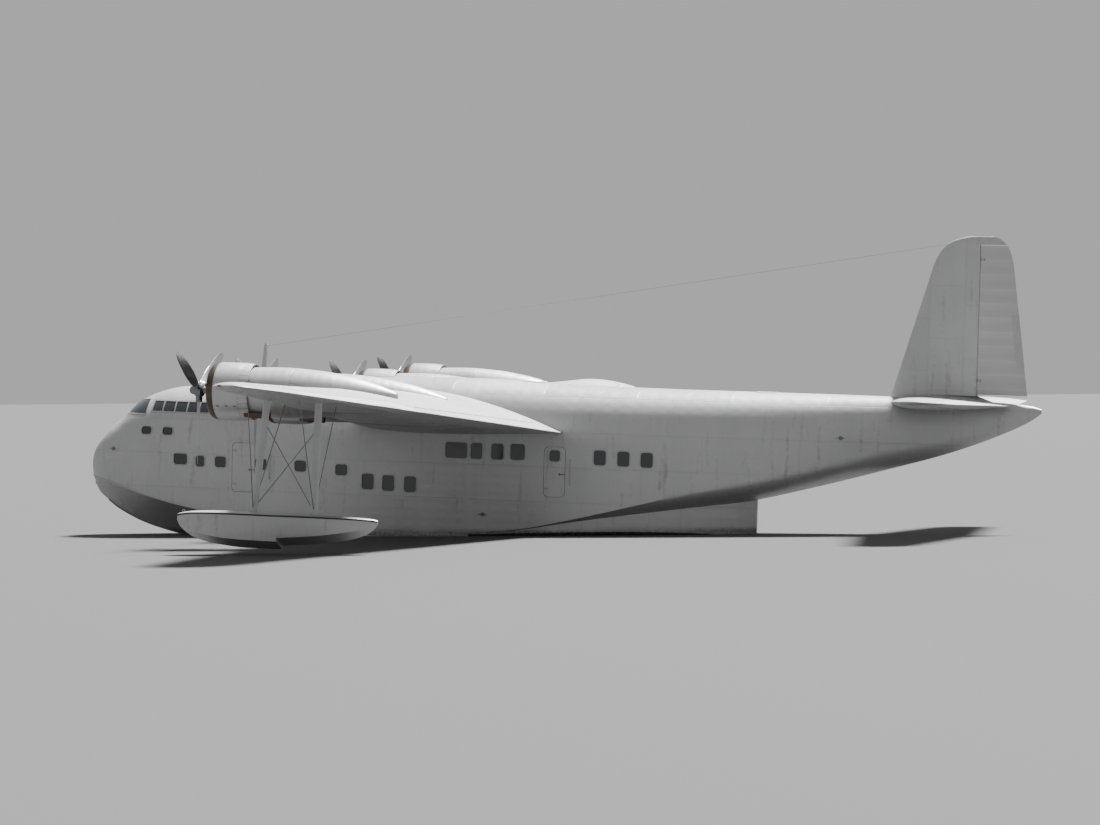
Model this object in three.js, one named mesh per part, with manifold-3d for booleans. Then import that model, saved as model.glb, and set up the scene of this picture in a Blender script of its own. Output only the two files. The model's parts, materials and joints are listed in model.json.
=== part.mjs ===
// A four-engined, high-winged passenger flying boat of riveted light alloy, afloat and at its full size.
// Millimetres, +Z up. The nose points to -Y and the port side is +X. The origin is on the waterline,
// on the centre plane, above the main step. Places along the boat are stations, counted aft from the nose,
// and heights are counted up from the keel at the main step. All of it is then pitched nose up by the trim
// at which the empty boat floats.
import * as THREE from "three";
import { mergeVertices } from "three/addons/utils/BufferGeometryUtils.js";
import Module from "manifold-3d";

const wasm = await Module();
wasm.setup();

// Driving dimensions
const STEP_STATION = 11500;
const DRAUGHT = 890;
const TRIM_DEG = 2.4;
const SEAT_GAP = 0.3;
const HALF_SPAN = 17375;
const PROPELLER_RADIUS = 1943;
const PROPELLER_STATION = 6150;
const ENGINE_LAYOUT = [
  { number: 1, side: 8300, height: 4730 },
  { number: 2, side: 3900, height: 4570 },
  { number: 3, side: -3900, height: 4570 },
  { number: 4, side: -8300, height: 4730 },
];

const COLOURS = {
  silver: { color: 0xb9bcbd, roughness: 0.42, metalness: 0.75 },
  fabric: { color: 0xc2c4c2, roughness: 0.6, metalness: 0.3 },
  glass: { color: 0x1b2226, roughness: 0.08, metalness: 0.0 },
  cowl: { color: 0xaeb0b0, roughness: 0.35, metalness: 0.8 },
  engine: { color: 0x4a4b4c, roughness: 0.55, metalness: 0.6 },
  propeller: { color: 0x8f9294, roughness: 0.3, metalness: 0.85 },
  exhaust: { color: 0x5b4a3d, roughness: 0.6, metalness: 0.6 },
  strut: { color: 0xa7aaab, roughness: 0.45, metalness: 0.7 },
};

// A place on the boat from its side (port positive), station and height.
const place = (side, station, height) => new THREE.Vector3(side, station - STEP_STATION, height - DRAUGHT);

const blend = (a, b, t) => a + (b - a) * t;

// Solids
const MERGE_DISTANCE = 1e-3;

function solidFrom(geometry) {
  const bare = new THREE.BufferGeometry().setAttribute("position", geometry.getAttribute("position").clone());
  if (geometry.index) bare.setIndex(geometry.index.clone());
  const merged = mergeVertices(bare, MERGE_DISTANCE);
  return new wasm.Manifold(
    new wasm.Mesh({
      numProp: 3,
      vertProperties: merged.attributes.position.array,
      triVerts: new Uint32Array(merged.index.array),
    }),
  );
}

function geometryOf(solid) {
  const mesh = solid.getMesh();
  const geometry = new THREE.BufferGeometry();
  geometry.setAttribute("position", new THREE.BufferAttribute(mesh.vertProperties, 3));
  geometry.setIndex(new THREE.BufferAttribute(mesh.triVerts, 1));
  return geometry;
}

// A closed skin over rings of equally many points. Each ring runs the same way round.
function loft(rings) {
  const count = rings[0].length;
  const positions = rings.flat().flatMap((p) => [p.x, p.y, p.z]);
  const faces = [];
  for (let r = 0; r + 1 < rings.length; r++)
    for (let i = 0; i < count; i++) {
      const j = (i + 1) % count;
      const [a, b, c, d] = [r * count + i, r * count + j, (r + 1) * count + j, (r + 1) * count + i];
      faces.push(a, b, c, a, c, d);
    }
  const capAt = (ring, first, flip) => {
    const centre = ring.reduce((sum, p) => sum.add(p), new THREE.Vector3()).divideScalar(count);
    const hub = positions.length / 3;
    positions.push(centre.x, centre.y, centre.z);
    for (let i = 0; i < count; i++) {
      const j = (i + 1) % count;
      if (flip) faces.push(hub, first + j, first + i);
      else faces.push(hub, first + i, first + j);
    }
  };
  capAt(rings[0], 0, true);
  capAt(rings[rings.length - 1], (rings.length - 1) * count, false);
  const build = (order) => {
    const geometry = new THREE.BufferGeometry();
    geometry.setAttribute("position", new THREE.Float32BufferAttribute(positions, 3));
    geometry.setIndex(order);
    return solidFrom(geometry);
  };
  const solid = build(faces);
  if (solid.volume() > 0) return solid;
  const turned = [];
  for (let i = 0; i < faces.length; i += 3) turned.push(faces[i], faces[i + 2], faces[i + 1]);
  return build(turned);
}

function box(low, high) {
  const geometry = new THREE.BoxGeometry(high.x - low.x, high.y - low.y, high.z - low.z);
  geometry.translate((low.x + high.x) / 2, (low.y + high.y) / 2, (low.z + high.z) / 2);
  return solidFrom(geometry);
}

// A round bar between two places, with its own radius at each end.
function bar(from, to, radiusFrom, radiusTo, segments = 12, squash = 1) {
  const length = from.distanceTo(to);
  const geometry = new THREE.CylinderGeometry(radiusTo, radiusFrom, length, segments);
  geometry.scale(squash, 1, 1);
  const turn = new THREE.Quaternion().setFromUnitVectors(
    new THREE.Vector3(0, 1, 0),
    to.clone().sub(from).normalize(),
  );
  geometry.applyQuaternion(turn);
  geometry.translate((from.x + to.x) / 2, (from.y + to.y) / 2, (from.z + to.z) / 2);
  return solidFrom(geometry);
}

// A turned solid about a line along the boat. The profile holds [station, radius] pairs, closed on itself.
function turned(profile, side, height, segments) {
  const points = profile.map(([station, radius]) => new THREE.Vector2(radius, station));
  const geometry = new THREE.LatheGeometry(points, segments);
  geometry.rotateY(Math.PI / segments);
  geometry.translate(side, -STEP_STATION, height - DRAUGHT);
  const solid = solidFrom(geometry);
  if (solid.volume() > 0) return solid;
  const index = geometry.index.array;
  for (let i = 0; i < index.length; i += 3) [index[i + 1], index[i + 2]] = [index[i + 2], index[i + 1]];
  return solidFrom(geometry);
}

const mirrored = (solid) => solid.mirror([1, 0, 0]);

// Hull
// Columns: station, keel height, chine height and half-breadth, shoulder height and half-breadth, top height,
// and how round the bottom is: 0 is a straight V to a hard chine, 1 is an ellipse, less than 0 is hollow.
const HULL_SECTIONS = [
  [12, 1990, 2150, 130, 2350, 170, 2590, 0],
  [60, 1780, 2100, 300, 2380, 380, 2770, 0],
  [150, 1640, 2070, 450, 2420, 590, 2940, 0],
  [400, 1430, 2010, 660, 2500, 880, 3280, -0.1],
  [700, 1215, 1950, 810, 2600, 1070, 3590, -0.15],
  [1050, 1030, 1870, 930, 2700, 1205, 3870, -0.2],
  [1400, 875, 1780, 1030, 2800, 1300, 4220, -0.25],
  [1900, 715, 1640, 1140, 2910, 1390, 4490, -0.25],
  [2600, 550, 1480, 1255, 3060, 1460, 4680, -0.25],
  [3400, 400, 1330, 1350, 3150, 1500, 4745, -0.2],
  [4500, 250, 1150, 1440, 3250, 1518, 4825, -0.15],
  [6000, 100, 960, 1500, 3350, 1525, 4940, -0.1],
  [7500, 0, 820, 1525, 3400, 1525, 5060, -0.05],
  [9000, 0, 760, 1525, 3400, 1525, 5140, 0],
  [10500, 0, 730, 1525, 3400, 1525, 5180, 0],
  [11500, 0, 720, 1520, 3400, 1520, 5180, 0],
  [11503, 500, 960, 1519, 3400, 1519, 5180, 0],
  [13000, 800, 1150, 1500, 3420, 1510, 5130, 0.2],
  [14500, 1130, 1480, 1465, 3450, 1485, 5085, 0.45],
  [16000, 1450, 1860, 1400, 3500, 1430, 5060, 0.7],
  [17500, 1780, 2260, 1305, 3560, 1345, 5050, 0.9],
  [19200, 2130, 2700, 1150, 3650, 1200, 5050, 1],
  [21000, 2590, 3180, 930, 3800, 980, 5050, 1],
  [22700, 3070, 3600, 690, 4010, 730, 5040, 1],
  [24400, 3580, 4010, 440, 4230, 460, 5015, 1],
  [25800, 4130, 4400, 230, 4550, 240, 4965, 1],
  [26600, 4540, 4680, 95, 4735, 100, 4890, 1],
  [26820, 4710, 4760, 30, 4770, 31, 4820, 1],
];
const BOTTOM_STEPS = 3;
const SIDE_STEPS = 2;
const ARCH_STEPS = 6;
const ARCH_POWER = 2.35;

// Half a section from the keel up to the top, pulled in by an inset all round.
function halfSection(row, inset) {
  const [station, keel, chineHeight, chineHalf, shoulderHeight, shoulderHalf, top, round] = row;
  const points = [];
  const chine = Math.max(chineHalf - inset, 5);
  const shoulder = Math.max(shoulderHalf - inset, 6);
  const low = keel + inset;
  for (let i = 0; i <= BOTTOM_STEPS; i++) {
    const t = i / BOTTOM_STEPS;
    const angle = (t * Math.PI) / 2;
    const across = t + round * (Math.sin(angle) - t);
    const up = t + round * (1 - Math.cos(angle) - t);
    points.push([chine * across, low + (chineHeight - low) * up]);
  }
  for (let i = 1; i <= SIDE_STEPS; i++) {
    const t = i / SIDE_STEPS;
    points.push([chine + (shoulder - chine) * t, chineHeight + (shoulderHeight - chineHeight) * t]);
  }
  for (let i = 1; i <= ARCH_STEPS; i++) {
    const angle = ((i / ARCH_STEPS) * Math.PI) / 2;
    points.push([
      shoulder * Math.pow(Math.max(Math.cos(angle), 0), 2 / ARCH_POWER),
      shoulderHeight + (top - inset - shoulderHeight) * Math.pow(Math.sin(angle), 2 / ARCH_POWER),
    ]);
  }
  points[points.length - 1][0] = 0;
  return points.map(([side, height]) => place(side, station, height));
}

function ringOf(half) {
  const other = half.slice(1, -1).reverse().map((p) => new THREE.Vector3(-p.x, p.y, p.z));
  return [...half, ...other];
}

const hullBody = (inset = 0) => loft(HULL_SECTIONS.map((row) => ringOf(halfSection(row, inset))));

// The planing bottom behind the main step, which narrows to the upright knife edge of the rear step.
// Columns: station, keel height, chine height, chine half-breadth, height where its wall is lost in the hull.
const AFTERBODY_SECTIONS = [
  [11501, 240, 940, 1505, 1200],
  [13000, 385, 1030, 1440, 1400],
  [14500, 530, 1110, 1290, 1650],
  [16000, 675, 1170, 1040, 1950],
  [17500, 820, 1190, 700, 2250],
  [18600, 925, 1140, 330, 2450],
  [19200, 985, 1040, 45, 2600],
];

function afterbody() {
  return loft(
    AFTERBODY_SECTIONS.map(([station, keel, chine, half, wall]) => [
      place(0, station, keel),
      place(half, station, chine),
      place(half, station, wall),
      place(-half, station, wall),
      place(-half, station, chine),
    ]),
  );
}

// Lifting surfaces
const AIRFOIL_STEPS = 8;

// A section outline of unit chord, from the trailing edge over the top to the nose and back below.
function airfoil(thickness, camber) {
  const top = [];
  const below = [];
  for (let i = 0; i <= AIRFOIL_STEPS; i++) {
    const x = (1 - Math.cos((i / AIRFOIL_STEPS) * Math.PI)) / 2;
    const half =
      5 * thickness *
      (0.2969 * Math.sqrt(x) - 0.126 * x - 0.3516 * x ** 2 + 0.2843 * x ** 3 - 0.1016 * x ** 4);
    const crown = 0.38;
    const bow =
      x < crown
        ? (camber / crown ** 2) * (2 * crown * x - x ** 2)
        : (camber / (1 - crown) ** 2) * (1 - 2 * crown + 2 * crown * x - x ** 2);
    top.push([x, bow + half]);
    below.push([x, bow - half]);
  }
  return [...top.reverse(), ...below.slice(1)];
}

// A rib is where a surface's section stands: leading edge, chord, trailing-edge height, pitch and thickness.
function wingRib({ side, leading, chord, trailing, pitch, thickness, camber }) {
  return airfoil(thickness, camber).map(([x, z]) => {
    const along = x * chord;
    const up = z * chord;
    const station = leading + along + up * Math.sin(pitch);
    return place(side, station, trailing + (chord - along) * Math.sin(pitch) + up);
  });
}

const WING_ROOT = {
  side: 1600, leading: 7990, chord: 6060, trailing: 3790, pitch: 0.061, thickness: 0.195,
  camber: 0.035,
};
const WING_TIP = {
  side: 16200, leading: 9480, chord: 2140, trailing: 4845, pitch: 0.045, thickness: 0.1,
  camber: 0.03,
};
function wingStation(side) {
  const t = (side - WING_ROOT.side) / (WING_TIP.side - WING_ROOT.side);
  const rib = { side };
  for (const key of ["leading", "chord", "trailing", "pitch", "thickness", "camber"])
    rib[key] = blend(WING_ROOT[key], WING_TIP[key], t);
  return rib;
}

// The middle of a rib's section at a share of its chord, and half its thickness there.
function ribPoint(rib, share) {
  const outline = wingRib(rib);
  const count = outline.length;
  const find = (from, step) => {
    for (let i = from; i + step >= 0 && i + step < count; i += step) {
      const a = outline[i].y - (rib.leading - STEP_STATION);
      const b = outline[i + step].y - (rib.leading - STEP_STATION);
      const wanted = share * rib.chord;
      if ((a - wanted) * (b - wanted) <= 0 && a !== b)
        return blend(outline[i].z, outline[i + step].z, (wanted - a) / (b - a));
    }
    return outline[from].z;
  };
  const upper = find(0, 1);
  const lower = find(count - 1, -1);
  return {
    centre: new THREE.Vector3(rib.side, rib.leading - STEP_STATION + share * rib.chord, (upper + lower) / 2),
    half: (upper - lower) / 2,
  };
}

// A rounded tip: the chord shrinks about a point near its middle along a quarter ellipse, down to a blunt
// end, and the trailing edge rises a little on the way.
const TIP_STEPS = 5;
const TIP_SHAPE = { middle: 0.48, blunt: 0.12, rise: 0.02 };

function tipRibs(base, reach, makeStation) {
  const ribs = [base];
  for (let i = 1; i <= TIP_STEPS; i++) {
    const angle = ((i / TIP_STEPS) * Math.PI) / 2;
    const share = Math.max(Math.cos(angle), TIP_SHAPE.blunt);
    const rib = { ...makeStation(Math.sin(angle) * reach) };
    const lost = rib.chord * (1 - share);
    rib.trailing += lost * 0.5 * Math.sin(rib.pitch) + lost * TIP_SHAPE.rise;
    rib.leading += lost * TIP_SHAPE.middle;
    rib.chord *= share;
    ribs.push(rib);
  }
  return ribs;
}

const WING_RIBS = [WING_ROOT.side + SEAT_GAP, 5200, 8900, 12600, WING_TIP.side];
const wingPanel = () => loft(WING_RIBS.map(wingStation).map(wingRib));

function wingTipPiece() {
  const base = wingStation(WING_TIP.side + SEAT_GAP);
  const ribs = tipRibs(base, HALF_SPAN - WING_TIP.side, (out) => wingStation(WING_TIP.side + out));
  return loft(ribs.map(wingRib));
}

const wingCentre = () =>
  loft([-WING_ROOT.side, WING_ROOT.side].map((side) => wingRib({ ...WING_ROOT, side })));

// Splits a hinged surface off a main one. The nose of the moving part is a cone about the hinge line,
// and the well it sits in is the same cone, grown by the running clearance.
const RUNNING_GAP = 14;
const END_GAP = 22;
// Hinge brackets stand out of the main surface into slots in the moving one, at shares of the hinge line.
// The eye is a share of the moving part's nose radius, the arm's root is buried, and the slot leaves room.
const BRACKET = { shares: [0.1, 0.9], half: 35, eye: 0.8, buried: 80, room: 8, segments: 10 };
const NOSE_SEGMENTS = 16;
// The slab that cuts a moving part off reaches past every surface's trailing edge and skin.
const SLAB = { reach: 2600, deep: 700 };

const hinges = {};

function hinged(name, whole, from, to, radiusFrom, radiusTo) {
  hinges[name] = [from, to];
  const axis = to.clone().sub(from);
  const length = axis.length();
  axis.normalize();
  const back = new THREE.Vector3(0, 1, 0).addScaledVector(axis, -axis.y).normalize();
  const up = new THREE.Vector3().crossVectors(axis, back);
  const slab = (grow) => {
    const geometry = new THREE.BoxGeometry(length + 2 * grow, SLAB.reach, 2 * SLAB.deep);
    geometry.translate(length / 2, SLAB.reach / 2, 0);
    geometry.applyMatrix4(new THREE.Matrix4().makeBasis(axis, back, up));
    geometry.translate(from.x, from.y, from.z);
    return solidFrom(geometry);
  };
  const cone = (grow, longer) =>
    bar(
      from.clone().addScaledVector(axis, -longer),
      to.clone().addScaledVector(axis, longer),
      radiusFrom + grow,
      radiusTo + grow,
      NOSE_SEGMENTS,
    );
  let main = whole.subtract(slab(0).add(cone(RUNNING_GAP, 0)));
  let moving = whole.intersect(slab(-END_GAP).add(cone(0, -END_GAP)));
  for (const share of BRACKET.shares) {
    const centre = from.clone().lerp(to, share);
    const radius = blend(radiusFrom, radiusTo, share);
    const disc = (half, r) => {
      const [start, end] = [-half, half].map((out) => centre.clone().addScaledVector(axis, out));
      return bar(start, end, r, r, BRACKET.segments);
    };
    const arm = new THREE.BoxGeometry(2 * BRACKET.half, radius + BRACKET.buried, radius);
    arm.translate(0, -(radius + BRACKET.buried) / 2, 0);
    arm.applyMatrix4(new THREE.Matrix4().makeBasis(axis, back, up));
    arm.translate(centre.x, centre.y, centre.z);
    main = main.add(disc(BRACKET.half, radius * BRACKET.eye)).add(solidFrom(arm));
    moving = moving.subtract(disc(BRACKET.half + SEAT_GAP, radius + BRACKET.room));
  }
  return { main, moving };
}

// The aileron hangs on a hinge line at 79 % of the chord.
const AILERON = { inner: 9700, outer: 16080, share: 0.79 };
// The flap is the part of the section inside a circle whose centre lies far below the wing, so that it
// slides aft and down along the wing's own arc. Shares are of the local chord.
const FLAP = { inner: 2350, outer: 9500, centreShare: 0.883, centreBelow: 0.3, radius: 0.332 };
const FLAP_SEGMENTS = 48;
// The guide stubs stand at a share of the arc's radius above its centre.
const GUIDE = { share: 0.935, radius: 20, buried: 30, segments: 10 };

function flapCentre(side) {
  const rib = wingStation(side);
  return {
    centre: place(
      side,
      rib.leading + FLAP.centreShare * rib.chord,
      rib.trailing + (1 - FLAP.centreShare) * rib.chord * Math.sin(rib.pitch) - FLAP.centreBelow * rib.chord,
    ),
    radius: FLAP.radius * rib.chord,
  };
}

function wingSet() {
  let wing = wingPanel();
  const inner = ribPoint(wingStation(AILERON.inner), AILERON.share);
  const outer = ribPoint(wingStation(AILERON.outer), AILERON.share);
  const aileronSplit = hinged("aileron", wing, inner.centre, outer.centre, inner.half, outer.half);
  wing = aileronSplit.main;
  const a = flapCentre(FLAP.inner);
  const b = flapCentre(FLAP.outer);
  const axis = b.centre.clone().sub(a.centre).normalize();
  hinges.flap = [a.centre, b.centre];
  const flap = wing.intersect(
    bar(
      a.centre.clone().addScaledVector(axis, END_GAP),
      b.centre.clone().addScaledVector(axis, -END_GAP),
      a.radius - RUNNING_GAP / 2,
      b.radius - RUNNING_GAP / 2,
      FLAP_SEGMENTS,
    ),
  );
  const well = [a, b].map(({ radius }) => radius + RUNNING_GAP / 2);
  wing = wing.subtract(bar(a.centre, b.centre, ...well, FLAP_SEGMENTS));
  // A guide stub at each end of the well bears on the flap's end.
  const up = new THREE.Vector3(0, 0, 1).addScaledVector(axis, -axis.z).normalize();
  for (const [end, way] of [[a, 1], [b, -1]]) {
    const middle = end.centre.clone().addScaledVector(up, end.radius * GUIDE.share);
    const from = middle.clone().addScaledVector(axis, -GUIDE.buried * way);
    const to = middle.clone().addScaledVector(axis, (END_GAP - SEAT_GAP) * way);
    wing = wing.add(bar(from, to, GUIDE.radius, GUIDE.radius, GUIDE.segments));
  }
  return { wing, aileron: aileronSplit.moving, flap };
}

// Engines: a ring cowl, a nine-cylinder radial, the nacelle behind it and a three-bladed propeller.
const ENGINE_SEGMENTS = 20;
const COWL = { front: 6560, back: 7700, outer: 745, inner: 700, mouth: 560 };
const NACELLE_FRONT = 7300;
const NACELLE_PROFILE = [
  [NACELLE_FRONT, 600],
  [7800, 640],
  [8500, 655],
  [9300, 612],
  [10200, 490],
  [10900, 320],
  [11500, 110],
];
const CRANKCASE_PROFILE = [
  [6360, 95],
  [6480, 165],
  [6640, 235],
  [6780, 270],
  [NACELLE_FRONT - SEAT_GAP, 275],
];
const HUB_PROFILE = [
  [5900, 60],
  [5930, 118],
  [6040, 168],
  [6250, 178],
  [6290, 90],
  [6360 - SEAT_GAP, 88],
];
const HUB_SEGMENTS = 12;
const CYLINDERS = 9;
// The top cylinder reaches up to carry the cowl; the others stop a little short of it.
const CYLINDER = {
  station: 6960, root: 150, barrel: 92, head: 120, crown: 92, neck: 510, shoulder: 525, tip: 665,
  sides: 6,
};

// A profile made larger all round, also past its two ends.
function grown(profile, by) {
  const last = profile.length - 1;
  return profile.map(([station, radius], i) => [station + (i === last ? by : 0) - (i ? 0 : by), radius + by]);
}
const closedProfile = (profile) => [
  [profile[0][0], 0],
  ...profile,
  [profile[profile.length - 1][0], 0],
];
const nacelleSolid = (engine, grow = 0) =>
  turned(closedProfile(grown(NACELLE_PROFILE, grow)), engine.side, engine.height, ENGINE_SEGMENTS);

function cowlSolid({ side, height }) {
  const { front, back, outer, inner, mouth } = COWL;
  const profile = [
    [front + 70, mouth],
    [front, mouth + 75],
    [front + 45, outer - 45],
    [front + 170, outer - 5],
    [back - 250, outer],
    [back, inner + 18],
    [back, inner],
    [front + 200, inner],
    [front + 70, mouth],
  ];
  return turned(profile, side, height, ENGINE_SEGMENTS);
}

function engineSolid({ side, height }) {
  let solid = turned(closedProfile(CRANKCASE_PROFILE), side, height, HUB_SEGMENTS);
  for (let i = 0; i < CYLINDERS; i++) {
    const angle = (i / CYLINDERS) * Math.PI * 2 + Math.PI / 2;
    const out = new THREE.Vector3(Math.cos(angle), 0, Math.sin(angle));
    const across = new THREE.Vector3(-Math.sin(angle), 0, Math.cos(angle));
    const along = new THREE.Vector3(0, 1, 0);
    const tip = i ? CYLINDER.tip : COWL.inner * Math.cos(Math.PI / ENGINE_SEGMENTS) - SEAT_GAP;
    const rings = [
      [CYLINDER.root, CYLINDER.barrel],
      [CYLINDER.neck, CYLINDER.barrel],
      [CYLINDER.shoulder, CYLINDER.head],
      [tip, CYLINDER.crown],
    ].map(([reach, radius]) =>
      Array.from({ length: CYLINDER.sides }, (_, k) => {
        const turn = (k / CYLINDER.sides) * Math.PI * 2;
        return place(side, CYLINDER.station, height)
          .addScaledVector(out, reach)
          .addScaledVector(across, Math.cos(turn) * radius)
          .addScaledVector(along, Math.sin(turn) * radius);
      }),
    );
    solid = solid.add(loft(rings));
  }
  return solid;
}

// Blade columns: share of the radius, chord, thickness, twist from the disc in degrees.
const BLADE_SECTIONS = [
  [0.06, 130, 130, 60],
  [0.14, 135, 120, 52],
  [0.25, 205, 62, 44],
  [0.5, 265, 36, 31],
  [0.8, 235, 22, 21],
  [0.96, 145, 12, 17],
  [1.0, 46, 8, 16],
];
const BLADE_POINTS = 6;

function propellerSolid({ side, height }) {
  let solid = turned(closedProfile(HUB_PROFILE), side, height, HUB_SEGMENTS);
  for (let blade = 0; blade < 3; blade++) {
    const around = (blade / 3) * Math.PI * 2 - Math.PI / 2;
    const out = new THREE.Vector3(Math.cos(around), 0, Math.sin(around));
    const along = new THREE.Vector3(-Math.sin(around), 0, Math.cos(around));
    const rings = BLADE_SECTIONS.map(([share, chord, thickness, twist]) => {
      const turn = (twist * Math.PI) / 180;
      const centre = place(side, PROPELLER_STATION, height).addScaledVector(out, share * PROPELLER_RADIUS);
      const wide = along.clone().multiplyScalar(Math.cos(turn)).add(new THREE.Vector3(0, Math.sin(turn), 0));
      const thin = along.clone().multiplyScalar(-Math.sin(turn)).add(new THREE.Vector3(0, Math.cos(turn), 0));
      return Array.from({ length: BLADE_POINTS }, (_, k) => {
        const angle = (k / BLADE_POINTS) * Math.PI * 2;
        return centre
          .clone()
          .addScaledVector(wide, (Math.cos(angle) * chord) / 2)
          .addScaledVector(thin, (Math.sin(angle) * thickness) / 2);
      });
    });
    solid = solid.add(loft(rings));
  }
  return solid;
}

// The exhaust pipe runs aft from the cowl's lower edge, outboard, seated along the nacelle's skin.
const PIPE = { radius: 80, from: COWL.back + 25, to: 8250, slant: -54, segments: 12 };

function exhaustSolid({ side, height }) {
  const turn = THREE.MathUtils.degToRad(side > 0 ? PIPE.slant : -180 - PIPE.slant);
  const [[s1, r1], [s2, r2]] = NACELLE_PROFILE.slice(1, 3);
  const at = (station) => {
    const skin = blend(r1, r2, (station - s1) / (s2 - s1)) * Math.cos(Math.PI / ENGINE_SEGMENTS);
    const off = skin + PIPE.radius;
    return place(side + Math.cos(turn) * off, station, height + Math.sin(turn) * off);
  };
  return bar(at(PIPE.from), at(PIPE.to), PIPE.radius, PIPE.radius, PIPE.segments);
}

// Tail
const FIN_FOOT = 5130;

// A fin rib stands at a height; its outline is the symmetric section laid flat.
function finRib(height, leading, trailing, thickness) {
  const chord = trailing - leading;
  return airfoil(thickness, 0).map(([x, z]) => place(z * chord, leading + x * chord, height));
}

// Columns: height, leading-edge station, trailing-edge station, thickness share.
const FIN_SECTIONS = [
  [FIN_FOOT, 22780, 26430, 0.115],
  [8650, 23830, 25960, 0.1],
  [8990, 24010, 25860, 0.095],
  [9210, 24250, 25720, 0.09],
  [9335, 24570, 25540, 0.085],
  [9375, 24850, 25380, 0.08],
];
const RUDDER = { station: 25130, foot: FIN_FOOT + 12, top: 9160 };

const finWhole = () => loft(FIN_SECTIONS.map(([h, le, te, t], i) => finRib(i ? h : h + SEAT_GAP, le, te, t)));
// The fin's foot fairs it into the hull's roof ahead of the rudder.
const finFoot = () => loft([finRib(4700, 22700, 26300, 0.1), finRib(FIN_FOOT, 22780, 25080, 0.18)]);

// Half the fin's thickness at a height, on the rudder's hinge line.
function finHalf(height) {
  const [low, high] = FIN_SECTIONS;
  const t = (height - low[0]) / (high[0] - low[0]);
  const [leading, trailing, thickness] = [1, 2, 3].map((column) => blend(low[column], high[column], t));
  const chord = trailing - leading;
  const share = (RUDDER.station - leading) / chord;
  const outline = airfoil(thickness, 0);
  const index = outline.findIndex(([x]) => x <= share);
  const [xa, za] = outline[index - 1];
  const [xb, zb] = outline[index];
  return blend(za, zb, (share - xa) / (xb - xa)) * chord;
}

function finSet() {
  const foot = place(0, RUDDER.station, RUDDER.foot);
  const top = place(0, RUDDER.station, RUDDER.top);
  const halves = [RUDDER.foot, FIN_SECTIONS[1][0]].map(finHalf);
  return hinged("rudder", finWhole(), foot, top, ...halves);
}

const TAIL_JOINT = 620;
const TAIL_ROOT = { side: 450, leading: 22900, chord: 3120, trailing: 4890, thickness: 0.115 };
const TAIL_TIP = { side: 6000, leading: 23860, chord: 1680, trailing: 4965, thickness: 0.1 };
const TAIL_HALF_SPAN = 6550;
const TAIL_RIBS = [250, 3100];

function tailStation(side) {
  const t = (side - TAIL_ROOT.side) / (TAIL_TIP.side - TAIL_ROOT.side);
  const rib = { side, camber: 0, pitch: 0 };
  for (const key of ["leading", "chord", "trailing", "thickness"])
    rib[key] = blend(TAIL_ROOT[key], TAIL_TIP[key], t);
  return rib;
}

function tailWhole() {
  const tip = tipRibs(tailStation(TAIL_TIP.side), TAIL_HALF_SPAN - TAIL_TIP.side, (out) =>
    tailStation(TAIL_TIP.side + out),
  );
  return loft([...TAIL_RIBS.map(tailStation), ...tip].map(wingRib));
}

const ELEVATOR = { inner: 430, outer: 6050, share: 0.6 };

// The tailplane outboard of its joint, its root, which belongs to the hull, and the elevator.
function tailSet() {
  const inner = ribPoint(tailStation(ELEVATOR.inner), ELEVATOR.share);
  const outer = ribPoint(tailStation(ELEVATOR.outer), ELEVATOR.share);
  const whole = tailWhole();
  const { main, moving } = hinged("elevator", whole, inner.centre, outer.centre, inner.half, outer.half);
  const beyond = (side) => box(place(side, 20000, 4000), place(8000, 28000, 6000));
  return {
    tailplane: main.intersect(beyond(TAIL_JOINT + SEAT_GAP)),
    root: main.subtract(beyond(TAIL_JOINT)),
    elevator: moving,
  };
}

// Wing floats
// Columns: station along the float, keel height, chine height and half-breadth, deck height and half-breadth.
const FLOAT_SECTIONS = [
  [0, 640, 660, 20, 720, 20],
  [140, 400, 520, 150, 780, 140],
  [500, 190, 380, 310, 830, 280],
  [1100, 60, 270, 430, 855, 390],
  [1900, 0, 220, 470, 860, 430],
  [2750, 0, 210, 470, 855, 425],
  [2752, 95, 300, 462, 855, 425],
  [3700, 170, 380, 380, 845, 340],
  [4600, 330, 520, 220, 825, 200],
  [5050, 520, 620, 90, 800, 85],
  [5200, 690, 705, 15, 770, 15],
];
const FLOAT = { side: 12600, station: 7280, keel: 960 };
// The deck's crown stands this much above its edge.
const FLOAT_CROWN = 34;

function floatSolid() {
  return loft(
    FLOAT_SECTIONS.map(([along, keel, chine, half, deck, deckHalf]) => {
      const rim = [
        [0, keel],
        [half * 0.5, blend(keel, chine, 0.42)],
        [half, chine],
        [blend(half, deckHalf, 0.6), blend(chine, deck, 0.55)],
        [deckHalf * 0.82, deck - (deck - chine) * 0.1],
        [deckHalf * 0.45, deck + FLOAT_CROWN * 0.65],
        [0, deck + FLOAT_CROWN],
      ].map(([x, z]) => place(x, FLOAT.station + along, FLOAT.keel + z));
      return ringOf(rim).map((p) => p.setX(p.x + FLOAT.side));
    }),
  );
}

// Two upright struts carry each float. Stays run from their feet out to the wing on both sides,
// and two more cross between them.
const STRUTS = [
  { low: 9250, high: 9560 },
  { low: 10830, high: 10880 },
];
const STRUT = { radius: 95, squash: 0.4, segments: 12, foot: 760, head: 5000 };
const STAY = { radius: 14, segments: 6, spread: 1500, rise: 200, crossTop: 3000 };

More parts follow.
